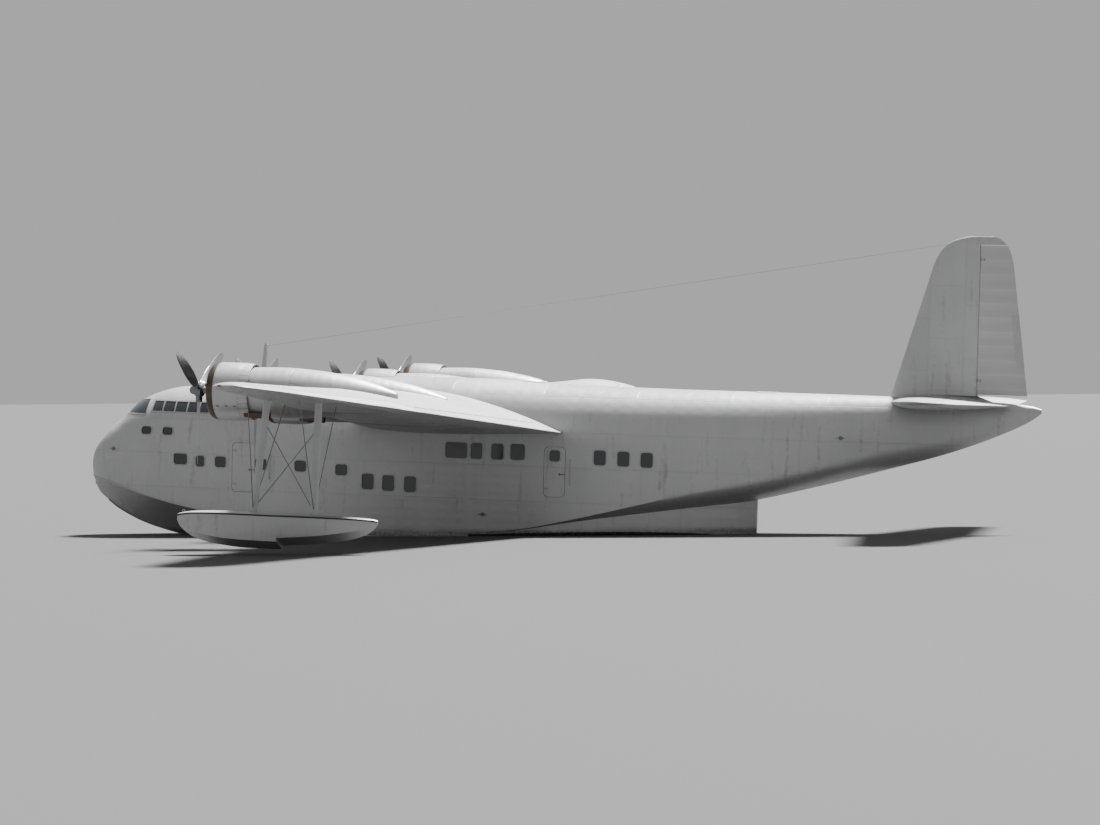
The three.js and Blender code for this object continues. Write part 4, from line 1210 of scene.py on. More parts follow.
# %% [markdown]
# ## Flight-deck glazing
#
# The windscreen and the deck's side windows are curved glass under thin bars. The same shell cut gives the
# glass its exact sweep over the nose, and the bars stand a little proud of it.

# %% Windscreen and deck side windows
# From and to: side, station and height. Then the stations of bars across, and the sides of bars along.
SIDE_BARS = (2450, 2820, 3190, 3560, 3860, 2097, 4133)
GLAZING = {
    "windscreen": ((25, 1250), (1040, 1950), (3880, 4340), (1933,), (42, 430)),
    "deck_side_window": ((500, 1600), (2080, 4150), (3960, 4310), SIDE_BARS, ()),
}
GLASS_INSET, GLASS_DEPTH, CUT_PROUD, BLOCK_ROOM = 5, 38, 60, 200
BAR_HALF, BAR_PROUD, BAR_SUNK = 17, 7, 20


def shell_block(name, sides, stations, heights, outer, inner):
    """The shell inside a block, from outer below the skin to inner."""
    low, high = ((sides[i], stations[i], heights[i]) for i in (0, 1))
    span = stations[0] - BLOCK_ROOM, stations[1] + BLOCK_ROOM
    slab = carve(block(name, low, high), [hull_loft("outer", outer, *span)], "INTERSECT")
    return carve(slab, [hull_loft("inner", inner, *span)])


def glazed(kind, way):
    """Sinks and hands over one pane, and returns its bars."""
    sides, stations, heights, across, along = GLAZING[kind]
    sides = sorted(way * side for side in sides)
    cut = shell_block("cut", sides, stations, heights, -CUT_PROUD, GLASS_DEPTH + 1)
    # The cut round the glass is painted near-black as painted shade.
    pockets.append(paint(cut, painted_recess_shade))
    pane = shell_block("glass", sides, stations, heights, GLASS_INSET, GLASS_DEPTH)
    pane.name = f"{kind}_glass_{SIDES[way]}"
    hand_over(pane, glass, "hull", (f"{kind}_{SIDES[way]}",))
    low, high = heights
    blocks = [(sides, stations, span) for span in ((low, low + 2 * BAR_HALF), (high - 2 * BAR_HALF, high))]
    blocks += [(sides, (s - BAR_HALF, s + BAR_HALF), heights) for s in across]
    blocks += [(sorted(way * (x + part) for part in (-BAR_HALF, BAR_HALF)), stations, heights) for x in along]
    return [shell_block("bar", *each, -BAR_PROUD, BAR_SUNK) for each in blocks]


bars = [piece for kind in GLAZING for way in SIDES for piece in glazed(kind, way)]
hand_over(joined("glazing_bars", bars), frame_metal)
carve(hull, [joined("pockets", pockets)])
hand_over(hull, None, "hull", ("hull",))
hand_over(joined("cabin_window_panes", panes), None)
hand_over(joined("cabin_window_rims", rims), None)
print("hull with its openings:", len(hull.data.polygons), "faces")

# %% [markdown]
# ## Handing over wings and tail
#
# What was made for the port side is mirrored to starboard. The moving ones ride on the bodies that bear
# their names, so that the same script looks right at every pose.

# %% Both sides of the wings and tail
SURFACE_PAINT = {"aileron": wing_fabric, "elevator": wing_fabric}
for kind, piece in port.items():
    for way, side_name in SIDES.items():
        twin = copy_of(piece, kind) if way > 0 else mirrored(piece, kind)
        node = f"{kind}_{side_name}"
        twin.name = node + "_skin"
        body = node if node in frame["bodies"] else "hull"
        slot = "doped_fabric" if kind in SURFACE_PAINT else "silver_skin"
        hand_over(twin, SURFACE_PAINT.get(kind, wing_skin), body, (node,))
    bpy.data.objects.remove(piece)
fin.name = "fin_skin"
hand_over(fin, tail_skin, "hull", ("fin",))
hand_over(rudder, fin_fabric, "rudder", ("rudder",))
print("both sides have", list(port))

# %% [markdown]
# ## Geometry Nodes for what repeats
#
# Cylinders round a crankcase, cooling fins up a barrel, gills round a cowl and rivets along a seam are all
# one shape set out by a rule. `Recipe` is a small tree with named inputs: it is run once for each use, and
# what it makes is taken as a plain mesh.

# %% A helper for Geometry Nodes


class Recipe(Nodes):
    def __init__(self, name, **inputs):
        self.tree = bpy.data.node_groups.new(name, "GeometryNodeTree")
        # The base mesh has to be the first input.
        for way in ("INPUT", "OUTPUT"):
            self.tree.interface.new_socket("Geometry", in_out=way, socket_type="NodeSocketGeometry")
        for key, kind in {**inputs, "Part": "Object", "Material": "Material"}.items():
            self.tree.interface.new_socket(key, in_out="INPUT", socket_type="NodeSocket" + kind)
        self.inputs = self.node("NodeGroupInput")

    def given(self, name):
        return self.value(self.inputs, name)

    def copies(self, points, **sockets):
        """Ends the recipe: a part at each point, made real and painted."""
        part = self.node("GeometryNodeObjectInfo", None, {"Object": self.given("Part")})
        sockets |= {"Points": points, "Instance": self.value(part, "Geometry")}
        placed = self.node("GeometryNodeInstanceOnPoints", None, sockets)
        real = self.node("GeometryNodeRealizeInstances", None, {0: self.value(placed)})
        sockets = {"Geometry": self.value(real), "Material": self.given("Material")}
        painted = self.node("GeometryNodeSetMaterial", None, sockets)
        self.node("NodeGroupOutput", None, {0: self.value(painted)})

    def make(self, name, base=None, **values):
        """Runs the tree on a base mesh and returns the result as a new object."""
        piece = new_object(name, base or bpy.data.meshes.new(name))
        modifier = piece.modifiers.new("recipe", "NODES")
        modifier.node_group = self.tree
        for item in self.tree.interface.items_tree:
            if item.in_out == "INPUT" and item.name in values:
                modifier[item.identifier] = values[item.name]
        return bake_modifiers(piece)


print("kinds of node tree:", [kind.__name__ for kind in Nodes.__subclasses__()])

# %% Recipes: a ring, a stack and a row
ring_of = Recipe("ring_of_parts", Count="Int", Start="Float")
sockets = {"Count": ring_of.given("Count"), "Offset": (0, 0, 0)}
middle = ring_of.value(ring_of.node("GeometryNodeMeshLine", None, sockets))
number = ring_of.value(ring_of.node("GeometryNodeInputIndex"))
angle = number * (2 * math.pi) / ring_of.given("Count") + ring_of.given("Start")
spin = ring_of.value(ring_of.node("ShaderNodeCombineXYZ", None, {"Z": angle}))
ring_of.copies(middle, Rotation=ring_of.value(ring_of.node("FunctionNodeEulerToRotation", None, {0: spin})))

stack_of = Recipe("stack_of_parts", Count="Int", Pitch="Float")
step = stack_of.value(stack_of.node("ShaderNodeCombineXYZ", None, {"X": stack_of.given("Pitch")}))
sockets = {"Count": stack_of.given("Count"), "Offset": step}
stack_of.copies(stack_of.value(stack_of.node("GeometryNodeMeshLine", None, sockets)))

row_of = Recipe("row_along_path", Pitch="Float")
curve = row_of.node("GeometryNodeMeshToCurve", None, {0: row_of.given("Geometry")})
sockets = {"Curve": row_of.value(curve), "Length": row_of.given("Pitch")}
evenly = row_of.value(row_of.node("GeometryNodeResampleCurve", {"mode": "LENGTH"}, sockets))
facing = row_of.node("GeometryNodeInputNamedAttribute", {"data_type": "FLOAT_VECTOR"}, {"Name": "facing"})
aim = row_of.node("FunctionNodeAlignRotationToVector", {"axis": "Z"}, {"Vector": row_of.value(facing)})
row_of.copies(evenly, Rotation=row_of.value(aim))
print("recipes:", [tree.name for tree in bpy.data.node_groups])

# %% [markdown]
# ## Engines
#
# Each engine is a nine-cylinder radial under a long ring cowl. The cowl's rounded nose is the exhaust
# collector, burnt brown, and a single pipe leads the exhaust aft, low on the outboard side. Gills behind
# the cowl let the cooling air out. The cylinder that points straight up carries the cowl.

# %% Small helpers for turned and boxy details
ENGINES = {1: (8300, 4730), 2: (3900, 4570), 3: (-3900, 4570), 4: (-8300, 4730)}
CYLINDERS, CYLINDER_STATION, BOLT_SIDES = 9, 6960, 6
# A detail is made with X outwards, Z forwards and Y round, and this turn lays it on the boat.
FORWARD = Matrix.Rotation(math.pi / 2, 4, "X")


def lathe_part(name, profile, segments=28):
    """A turned part about the X axis, from (reach, radius) pairs in millimetres."""
    rings = []
    for reach, radius in profile:
        turns = [2 * math.pi * i / segments for i in range(segments)]
        rings.append([Vector((reach, radius * math.cos(t), radius * math.sin(t))) * MM for t in turns])
    return loft(name, rings)


def rod(name, start, end, radius, segments=12):
    return bar(name, Vector(start) * MM, Vector(end) * MM, radius, radius, segments)


def small_box(name, centre, size, bevel=6):
    """A box with bevelled edges, in millimetres."""
    x, y, z = (v / 2 for v in size)
    middle = Vector(centre)
    corners = [(-y, -z), (y, -z), (y, z), (-y, z)]
    piece = loft(name, [[(middle + Vector((end, b, c))) * MM for b, c in corners] for end in (-x, x)])
    modifier = piece.modifiers.new("edge", "BEVEL")
    modifier.width = bevel * MM
    modifier.segments = 2
    return bake_modifiers(piece)


def moved(piece, matrix):
    piece.data.transform(matrix)
    return piece


def fins(name, profile, count, pitch, start):
    """Equal discs in a row along X."""
    disc = lathe_part("disc", profile, 24)
    row = stack_of.make(name, Part=disc, Count=count, Pitch=pitch * MM, Material=fin_metal)
    bpy.data.objects.remove(disc)
    return moved(row, Matrix.Translation((start * MM, 0, 0)))


def ring(name, part, count, material, start=math.pi / 2):
    """Equal parts round an axis. The part is used up."""
    made = ring_of.make(name, Part=part, Count=count, Start=start, Material=material)
    bpy.data.objects.remove(part)
    return made


def bolts(name, radius, count, out, turn, lift=0):
    """A ring of bolt heads about Z, standing up or down."""
    head = [(0, radius), (radius - 2, radius), (radius + 1, radius - 3)]
    head = moved(lathe_part("bolt", head, BOLT_SIDES), Matrix.Rotation(turn * math.pi / 2, 4, "Y"))
    return ring(name, moved(head, Matrix.Translation((out * MM, 0, lift * MM))), count, hub_metal)


print("engines at side and height", ENGINES)

# %% One star of nine cylinders
BARREL_FINS, HEAD_FINS, FIN_PITCH = 13, 8, 17
barrel = lathe_part("barrel", [(150, 84), (500, 84), (515, 98), (640, 98), (652, 60)])
barrel_fins = fins("barrel_fins", [(0, 90), (1.5, 92), (4.5, 92), (6, 90)], BARREL_FINS, FIN_PITCH, 290)
head_fins = fins("head_fins", [(0, 114), (2, 117), (5, 117), (7, 114)], HEAD_FINS, FIN_PITCH, 515)
covers, leads = [small_box("cowl_stay", (684, 0, 0), (28, 34, 60), 3)], []
for across in (-50, 50):
    covers.append(rod("pushrod", (228, across * 0.6, 300), (640, across, 104), 11))
    covers.append(small_box("rocker_box", (652, across, 30), (44, 58, 170)))
    leads.append(rod("plug_lead", (300, across * 1.6, 130), (590, across * 1.9, 60), 6, 8))
star = [
    ring("barrels", barrel, CYLINDERS, casting),
    ring("cooling_fins", joined("fins", [barrel_fins, head_fins]), CYLINDERS, fin_metal),
    ring("covers", joined("covers", covers), CYLINDERS, rocker_metal),
    ring("plug_leads", joined("leads", leads), CYLINDERS, black_rubber_and_edge_shade),
]
star = moved(joined("cylinder_star", star), FORWARD)
print("a star of cylinders has", len(star.data.polygons), "faces")

# %% Gills, bands and fasteners of a cowl
# A gill is a plate through these reaches and radii.
GILL_LINE = ((-498, 742), (-700, 722), (-738, 716))
GILLS, GILL_GAP_DEG, GILL_THICK, GILL_STEPS = 30, 0.7, 5, 4
COWL_BANDS, BAND_MIDDLE, BAND_SIZE = 3, (745, 0, -170), (6, 30, 590)
LATCH_PLACES, LATCH_REACH, LATCH_SIZE = (60, -170, -400), 749, (10, 42, 66)
COWL_STUDS, STUD, STUD_AHEAD, STUDS_APART = 36, [(742, 9), (746.5, 9), (748, 6)], 155, 620
CASE_BOLTS, CASE_BOLT_OUT, CASE_BOLT_AHEAD = 18, 200, 312


def one_gill():
    """A curved plate that narrows the cowl's rear, from its hinge to its free end."""
    half = math.pi / GILLS - math.radians(GILL_GAP_DEG) / 2
    rings = []
    for reach, radius in GILL_LINE:
        outer = [(radius, -half + 2 * half * i / GILL_STEPS) for i in range(GILL_STEPS + 1)]
        points = outer + [(r - GILL_THICK, t) for r, t in reversed(outer)]
        rings.append([Vector((r * math.cos(t), r * math.sin(t), reach)) * MM for r, t in points])
    return loft("gill", rings)


gills = moved(ring("cowl_gills", one_gill(), GILLS, cowl_paint), FORWARD)
latches = [small_box("latch", (LATCH_REACH, 0, z), LATCH_SIZE, 2) for z in LATCH_PLACES]
latches = ring("cowl_latches", joined("latches", latches), COWL_BANDS, hub_metal)
bands = ring("cowl_bands", small_box("band", BAND_MIDDLE, BAND_SIZE, 1.5), COWL_BANDS, cowl_paint)
stud = moved(lathe_part("stud", STUD, 8), Matrix.Translation((0, 0, STUD_AHEAD * MM)))
rear_stud = moved(copy_of(stud, "rear_stud"), Matrix.Translation((0, 0, -STUDS_APART * MM)))
studs = ring("cowl_studs", joined("studs", [rear_stud, stud]), COWL_STUDS, hub_metal)
gills = joined("gills", [gills, *(moved(piece, FORWARD) for piece in (latches, bands, studs))])
case_bolts = bolts("case_bolts", 11, CASE_BOLTS, CASE_BOLT_OUT, -1, CASE_BOLT_AHEAD)
star = joined("cylinder_star", [star, moved(case_bolts, FORWARD)])
print("gills on each cowl:", GILLS, "and fasteners:", 2 * COWL_STUDS)

# %% Crankcases, cowls and nacelles
# Turned parts are lists of stations and radii.
CRANKCASE = [(6361, 95), (6372, 112), (6480, 158), (6500, 172), (6640, 228), (6650, 262), (6780, 268)]
CRANKCASE += [(6800, 300), (7110, 300), (7130, 268), (7299, 270)]
COLLECTOR = [(6768, 741), (6720, 739), (6660, 727), (6605, 700), (6572, 665), (6560, 635), (6566, 606)]
COLLECTOR += [(6590, 578), (6630, 560), (6690, 618), (6768, 702)]
COWL_SHEET = [(6772, 740), (6800, 743), (6860, 745), (7440, 745), (7452, 742), (7452, 737), (6772, 735)]
NACELLE = [(7300, 600), (7800, 640), (8500, 655), (9300, 612), (10200, 490), (10900, 320), (11500, 110)]
NACELLE_END, NACELLE_STEPS = [(11530, 86), (11546, 50), (11550, 12)], 44
# An end face ahead of this place, in metres aft of the step, is the wall behind the engine,
# painted near-black as painted shade.
NACELLE_FRONT = -3.5
CASE_SEGMENTS, COWL_SEGMENTS, NACELLE_SEGMENTS = 48, 96, 72

nacelle_line = fair(*zip(*NACELLE))

for number, (side, height) in ENGINES.items():
    at = Matrix.Translation(place(side, CYLINDER_STATION, height))
    case = paint(turned("crankcase", CRANKCASE, side, height, CASE_SEGMENTS), casting)
    engine = joined(f"engine_{number}_radial", [case, moved(copy_of(star, "star"), at)])
    hand_over(engine, None, "hull", (f"engine_{number}",))
    collector = turned("collector", COLLECTOR, side, height, COWL_SEGMENTS, ring_closed=True)
    sheet = turned("sheet", COWL_SHEET, side, height, COWL_SEGMENTS, ring_closed=True)
    paint(collector, burnt_steel)
    paint(sheet, cowl_paint)
    cowl = joined(f"cowling_{number}_skin", [collector, sheet, moved(copy_of(gills, "gills"), at)])
    hand_over(cowl, None, "hull", (f"cowling_{number}",))
    profile = [(s, nacelle_line(s)) for s in np.linspace(NACELLE[0][0], NACELLE[-1][0], NACELLE_STEPS)]
    nacelle = turned(f"nacelle_{number}_skin", profile + NACELLE_END, side, height, NACELLE_SEGMENTS)
    paint(nacelle, wing_skin, painted_recess_shade)
    for face in nacelle.data.polygons:
        face.material_index = int(len(face.vertices) > 4 and face.center.y < NACELLE_FRONT)
    hand_over(nacelle, None, "hull", (f"nacelle_{number}",))
for thing in (star, gills):
    bpy.data.objects.remove(thing)
print("a nacelle is", NACELLE_END[-1][0] - NACELLE[0][0], "mm long")

# %% Exhaust pipes, hollow at the end
PIPE_START, PIPE_END, PIPE_RADIUS, PIPE_SLANT_DEG = 7560, 8250, 80, -54
PIPE_BORE, PIPE_TAPER, PIPE_DEPTH, PIPE_SEGMENTS = 74, 7700, 260, 32
PIPE_RINGS = [(PIPE_START, PIPE_BORE), (PIPE_TAPER, PIPE_RADIUS), (PIPE_END, PIPE_RADIUS)]
PIPE_RINGS += [(PIPE_END, PIPE_BORE), (PIPE_END - PIPE_DEPTH, PIPE_BORE)]
SOOTED = 3 * PIPE_SEGMENTS

for number, (side, height) in ENGINES.items():
    slant = math.radians(PIPE_SLANT_DEG if side > 0 else -180 - PIPE_SLANT_DEG)
    rings = []
    for station, radius in PIPE_RINGS:
        reach = nacelle_line(station) + PIPE_RADIUS
        centre = place(side + math.cos(slant) * reach, station, height + math.sin(slant) * reach)
        rings.append(circle(centre, AFT, radius * MM, PIPE_SEGMENTS))
    pipe = paint(loft(f"exhaust_pipe_{number}_tube", rings), exhaust_steel, soot)
    for face in pipe.data.polygons:
        face.material_index = int(min(face.vertices) >= SOOTED)
    hand_over(pipe, None, "hull", (f"exhaust_pipe_{number}",))
print("exhaust pipes are open for", PIPE_DEPTH, "mm")

# %% [markdown]
# ## Propellers
#
# Three metal blades, twisted from hub to tip, clamp into a hub whose front is a small dome. One blade
# points straight down at rest. Each propeller rides on its own body, so it turns with the pose.

# %% Blades and hub
PROPELLER_RADIUS, PROPELLER_STATION, BLADES, FIRST_BLADE = 1943, 6150, 3, -math.pi / 2
# Columns: share of the radius, chord, thickness, twist in degrees.
BLADE_SECTIONS = [
    (0.06, 124, 124, 60),
    (0.14, 132, 118, 52),
    (0.25, 205, 62, 44),
    (0.5, 265, 36, 31),
    (0.8, 235, 22, 21),
    (0.9, 203, 16, 19),
    (0.95, 165, 12, 18),
    (0.98, 115, 9, 17),
    (0.995, 60, 6, 16),
    (1, 12, 4, 16),
]
HUB_PROFILE = [(5900, 30), (5906, 62), (5930, 96), (5975, 112), (6040, 132), (6070, 166), (6230, 178)]
HUB_PROFILE += [(6262, 150), (6290, 92), (6359, 88)]
# The round shank turns into a blade from one share of the radius over another.
BLADE_STEPS, SECTION_STEPS, FLAT_FROM, FLAT_OVER = 34, 14, 0.1, 0.16
FRONT_FULL, BACK_FULL = 0.25, -0.1


def blade():
    """One blade along X. Its slightly fuller side faces forwards, along Z."""
    shares, *columns = zip(*BLADE_SECTIONS)
    chord_at, thickness_at, twist_at = (fair(shares, column) for column in columns)
    rings = []
    for i in range(BLADE_STEPS + 1):
        share = mix(shares[0], shares[-1], math.sin(i / BLADE_STEPS * math.pi / 2))
        chord, thickness = chord_at(share), thickness_at(share)
        twist = math.radians(twist_at(share))
        flat = min(max((share - FLAT_FROM) / FLAT_OVER, 0), 1)
        points = []
        outline = airfoil(0.5, 0, SECTION_STEPS)
        for j, (x, z) in enumerate(outline[:-1]):
            angle = 2 * math.pi * j / (len(outline) - 1)
            round_x, round_z = 0.5 + math.cos(angle) / 2, math.sin(angle) / 2
            across = (mix(round_x, x, flat) - 0.5) * chord
            fuller = (FRONT_FULL if z > 0 else BACK_FULL) * abs(z)
            up = mix(round_z, z * 2 + fuller, flat) * thickness
            y, forward = across * math.cos(twist), -across * math.sin(twist)
            place_on = (share * PROPELLER_RADIUS, y - up * math.sin(twist), forward + up * math.cos(twist))
            points.append(Vector(place_on) * MM)
        rings.append(points)
    return loft("blade", rings)


socket = lathe_part("socket", [(60, 90), (235, 90), (245, 84), (262, 84)], 32)
nut = lathe_part("nut", [(262, 96), (300, 96), (304, 92), (308, 70)], 8)
propeller = [ring("blades", blade(), BLADES, blade_metal, FIRST_BLADE)]
propeller.append(ring("sockets", joined("socket", [socket, nut]), BLADES, hub_metal, FIRST_BLADE))
propeller = moved(joined("propeller", propeller), FORWARD)
for number, (side, height) in ENGINES.items():
    at = Matrix.Translation(place(side, PROPELLER_STATION, height))
    hub = paint(turned("hub", HUB_PROFILE, side, height, CASE_SEGMENTS), hub_metal)
    piece = joined(f"propeller_{number}_blades", [hub, moved(copy_of(propeller, "blades"), at)])
    hand_over(piece, None, f"propeller_{number}", (f"propeller_{number}",), BLADE_SHARP_DEG)
bpy.data.objects.remove(propeller)
print("propellers: radius", PROPELLER_RADIUS, "mm")

# %% [markdown]
# ## Wing floats
#
# Each float has a V bottom with a step of its own, a flat side and a crowned deck. Two struts and six
# crossing wires carry it under the wing.

# %% Float hulls
FLOAT_SIDE, FLOAT_STATION, FLOAT_KEEL, FLOAT_CROWN = 12600, 7280, 960, 34
# Columns: along, keel, chine height, chine half-breadth, deck-edge height, deck half-breadth.
FLOAT_SECTIONS = [
    (0, 640, 660, 20, 720, 20),
    (140, 400, 520, 150, 780, 140),
    (500, 190, 380, 310, 830, 280),
    (1100, 60, 270, 430, 855, 390),
    (1900, 0, 220, 470, 860, 430),
    (2750, 0, 210, 470, 855, 425),
    (2752, 95, 300, 462, 855, 425),
    (3700, 170, 380, 380, 845, 340),
    (4600, 330, 520, 220, 825, 200),
    (5050, 520, 620, 90, 800, 85),
    (5200, 690, 705, 15, 770, 15),
]
FLOAT_STEP_ROW, FLOAT_STEPS_AHEAD, FLOAT_STEPS_BEHIND = 6, 30, 26
FLOAT_LINES = fair_columns(FLOAT_SECTIONS[:FLOAT_STEP_ROW]), fair_columns(FLOAT_SECTIONS[FLOAT_STEP_ROW:])
FLOAT_JOINT = FLOAT_SECTIONS[FLOAT_STEP_ROW - 1][0] + 1
FLOAT_HOLLOW, FLOAT_BULGE = 0.15, 0.04
FLOAT_BOTTOM_SHARES, FLOAT_SIDE_STEPS = (0.33, 0.67, 1), 6


def float_line(along):
    """Keel, chine height, chine, deck height and deck half-breadth at a length from the float's bow."""
    return [line(math.sqrt(along)) for line in FLOAT_LINES[0 if along < FLOAT_JOINT else 1]]


def float_ring(along):
    keel, chine_height, chine, deck_height, deck = float_line(along)
    half = [(0, keel)]
    for t in FLOAT_BOTTOM_SHARES:
        rise = (1 + FLOAT_HOLLOW) * t - FLOAT_HOLLOW * t * t
        half.append((chine * t, keel + (chine_height - keel) * rise))
    for i in range(1, FLOAT_SIDE_STEPS + 1):
        t = i / FLOAT_SIDE_STEPS
        bulge = math.sin(t * math.pi) * FLOAT_BULGE * chine
        half.append((mix(chine, deck, t) + bulge, mix(chine_height, deck_height, t)))
    for i in range(1, FLOAT_SIDE_STEPS + 1):
        angle = i / FLOAT_SIDE_STEPS * math.pi / 2
        half.append((deck * math.cos(angle), deck_height + FLOAT_CROWN * math.sin(angle)))
    half[-1] = (0, deck_height + FLOAT_CROWN)
    return [place(FLOAT_SIDE + x, FLOAT_STATION + along, FLOAT_KEEL + z) for x, z in whole_ring(half)]


def port_float():
    end = math.sqrt(FLOAT_SECTIONS[FLOAT_STEP_ROW - 1][0])
    rings = [float_ring((end * i / FLOAT_STEPS_AHEAD) ** 2) for i in range(FLOAT_STEPS_AHEAD + 1)]
    start, end = (math.sqrt(FLOAT_SECTIONS[i][0]) for i in (FLOAT_STEP_ROW, -1))
    shares = [i / FLOAT_STEPS_BEHIND for i in range(FLOAT_STEPS_BEHIND + 1)]
    rings += [float_ring(mix(start, end, share) ** 2) for share in shares]
    return loft("float_skin", rings)


print("a float is", FLOAT_SECTIONS[-1][0], "mm long")

# %% Struts and wires
STRUT_ENDS = [((9250, 1720), (9560, 4740)), ((10830, 1720), (10880, 4740))]
STRUT_RADIUS, STRUT_SQUASH, STRUT_SEGMENTS = 95, 0.4, 40
COLLAR_HEIGHT, COLLAR_RADII, COLLAR_SQUASH = 190, (STRUT_RADIUS + 9, STRUT_RADIUS + 4), STRUT_SQUASH + 0.06
WIRE_RADIUS, WIRE_SEGMENTS, WIRE_LIFT, WIRE_SPREAD, CROSSED_TOP = 11, 12, 200, 1500, 3960


def strut_point(end, lift=0, side=FLOAT_SIDE):
    return place(side, end[0], end[1] + lift)


def strut_bar(name, start, end, radii, squash):
    return paint(bar(name, start, end, *radii, STRUT_SEGMENTS, squash), strut_paint)


def wire(start, end):
    return paint(bar("wire", start, end, WIRE_RADIUS, WIRE_RADIUS, WIRE_SEGMENTS), wire_steel)


def port_struts():
    pieces = []
    for low, high in STRUT_ENDS:
        foot, top = strut_point(low), strut_point(high)
        pieces.append(strut_bar("strut", foot, top, (STRUT_RADIUS, STRUT_RADIUS), STRUT_SQUASH))
        for point, end, lift in ((foot, low, COLLAR_HEIGHT), (top, high, -COLLAR_HEIGHT)):
            over = strut_point(end, lift)
            pieces.append(strut_bar("collar", point, over, COLLAR_RADII, COLLAR_SQUASH))
        for aside in (-WIRE_SPREAD, WIRE_SPREAD):
            pieces.append(wire(strut_point(low, WIRE_LIFT), strut_point(high, 0, FLOAT_SIDE + aside)))
    for (low, _), (_, high) in zip(STRUT_ENDS, reversed(STRUT_ENDS)):
        pieces.append(wire(strut_point(low, WIRE_LIFT), place(FLOAT_SIDE, high[0], CROSSED_TOP)))
    return joined("float_struts", pieces)


for kind, piece, slot in (("float", port_float(), "silver_skin"), ("float_struts", port_struts(), "strut")):
    material = hull_skin if kind == "float" else None
    for side_name, twin in (("starboard", mirrored(piece, kind)), ("port", piece)):
        twin.name = f"{kind}_{side_name}_piece"
        hand_over(twin, material, "hull", (f"{kind}_{side_name}",))
print("floats and struts on both sides")

# %% [markdown]
# ## Rivets, strips and other fittings
#
# A row of rivets follows a path on the surface: a line mesh whose points carry the way that they face, so
# that each rivet stands square on the skin. The same paths also guide flat strips, such as the rubbing
# strake along the chine and the gutters over the doors. Hatches on the roof are slabs of skin again, cut
# from above.

# %% Paths on the skin, and what follows them
STRIP_SUNK, SKIN_STEP = 5, 30


def on_skin(way, station, height):
    """A place on the hull's side, and the way that the skin faces there."""
    side = skin_side(station, height)
    aft = skin_side(station + SKIN_STEP, height) - side
    up = skin_side(station, height + SKIN_STEP) - side
    return place(way * side, station, height), Vector((way * SKIN_STEP, -aft, -up)).normalized()


def rows(name, paths, part, pitch, material, closed=False):
    """Equal parts in rows along paths, each a list of (place, facing) pairs."""
    points, edges, ways = [], [], []
    for path in paths:
        start = len(points)
        points += [tuple(point) for point, _ in path]
        ways += [value for _, facing in path for value in facing]
        edges += [(start + i, start + i + 1) for i in range(len(path) - 1)]
        edges += [(len(points) - 1, start)] if closed else []
    mesh = bpy.data.meshes.new(name)
    mesh.from_pydata(points, edges, [])
    mesh.attributes.new("facing", "FLOAT_VECTOR", "POINT").data.foreach_set("vector", ways)
    return row_of.make(name, base=mesh, Part=part, Pitch=pitch * MM, Material=material)


def strip(path, half, proud, material):
    """A flat strip along a path, a little sunk into the skin."""
    rings = []
    for i, (point, facing) in enumerate(path):
        along = path[min(i + 1, len(path) - 1)][0] - path[max(i - 1, 0)][0]
        across = along.cross(facing).normalized() * half * MM
        top, foot = facing * proud * MM, facing * -STRIP_SUNK * MM
        left, right = point + across, point - across
        rings.append([left + foot, left + top, right + top, right + foot])
    return paint(loft("strip", rings), material)


def upright(piece):
    """Turns a part made along X so that it stands along Z, as rows want it."""
    return moved(piece, Matrix.Rotation(-math.pi / 2, 4, "Y"))


rivet = upright(lathe_part("rivet", [(-1, 8), (1.5, 8), (3.5, 5), (4.2, 1)], 8))
screw = upright(lathe_part("screw", [(-1, 5), (2, 5), (2.6, 3.5)], 6))
cover = upright(lathe_part("cover", [(-6, 78), (2, 78), (3.5, 75), (3.5, 64), (1.5, 61), (1.5, 4)], 24))
print("small parts for rows:", [part.name for part in (rivet, screw, cover)])

# %% Rivets and strips on the hull
OPENING_EDGE, OPENING_PITCH, CHINE_PITCH, RIM_PITCH = 26, 70, 95, 95
CHINE_ENDS, CHINE_LIFTS, CHINE_STEPS = (350, 11400), (48, 80), 90
CHINE_STRIP_ENDS, CHINE_STRIP_LIFT = (90, 11440), 16
# Half the width of a strip, and how proud it stands.
KEEL_STRIP, CHINE_STRIP, GUTTER_STRIP = (34, 12), (15, 14), (7, 16)
KEEL_ENDS, KEEL_STEPS, KEEL_REACH = (420, 11380), 80, 30
GUTTER_LIFT, GUTTER_CROWN, GUTTER_PAST, GUTTER_STEPS = 62, 14, 40, 12


def chine_path(way, start, end, lift):
    stations = np.linspace(start, end, CHINE_STEPS)
    return [on_skin(way, s, LINES_AHEAD[1](math.sqrt(s)) + lift) for s in stations]


def around(way, outline):
    return [on_skin(way, s, z) for s, z in outline]


def keel_height(station):
    return LINES_AHEAD[0](math.sqrt(station))


def gutter_path(way, start, end, top):
    """A slightly crowned line over a door."""
    rises = [GUTTER_CROWN * math.sin(t * math.pi) for t in np.linspace(0, 1, GUTTER_STEPS)]
    stations = np.linspace(start - GUTTER_PAST, end + GUTTER_PAST, GUTTER_STEPS)
    return around(way, [(station, top + GUTTER_LIFT + rise) for station, rise in zip(stations, rises)])


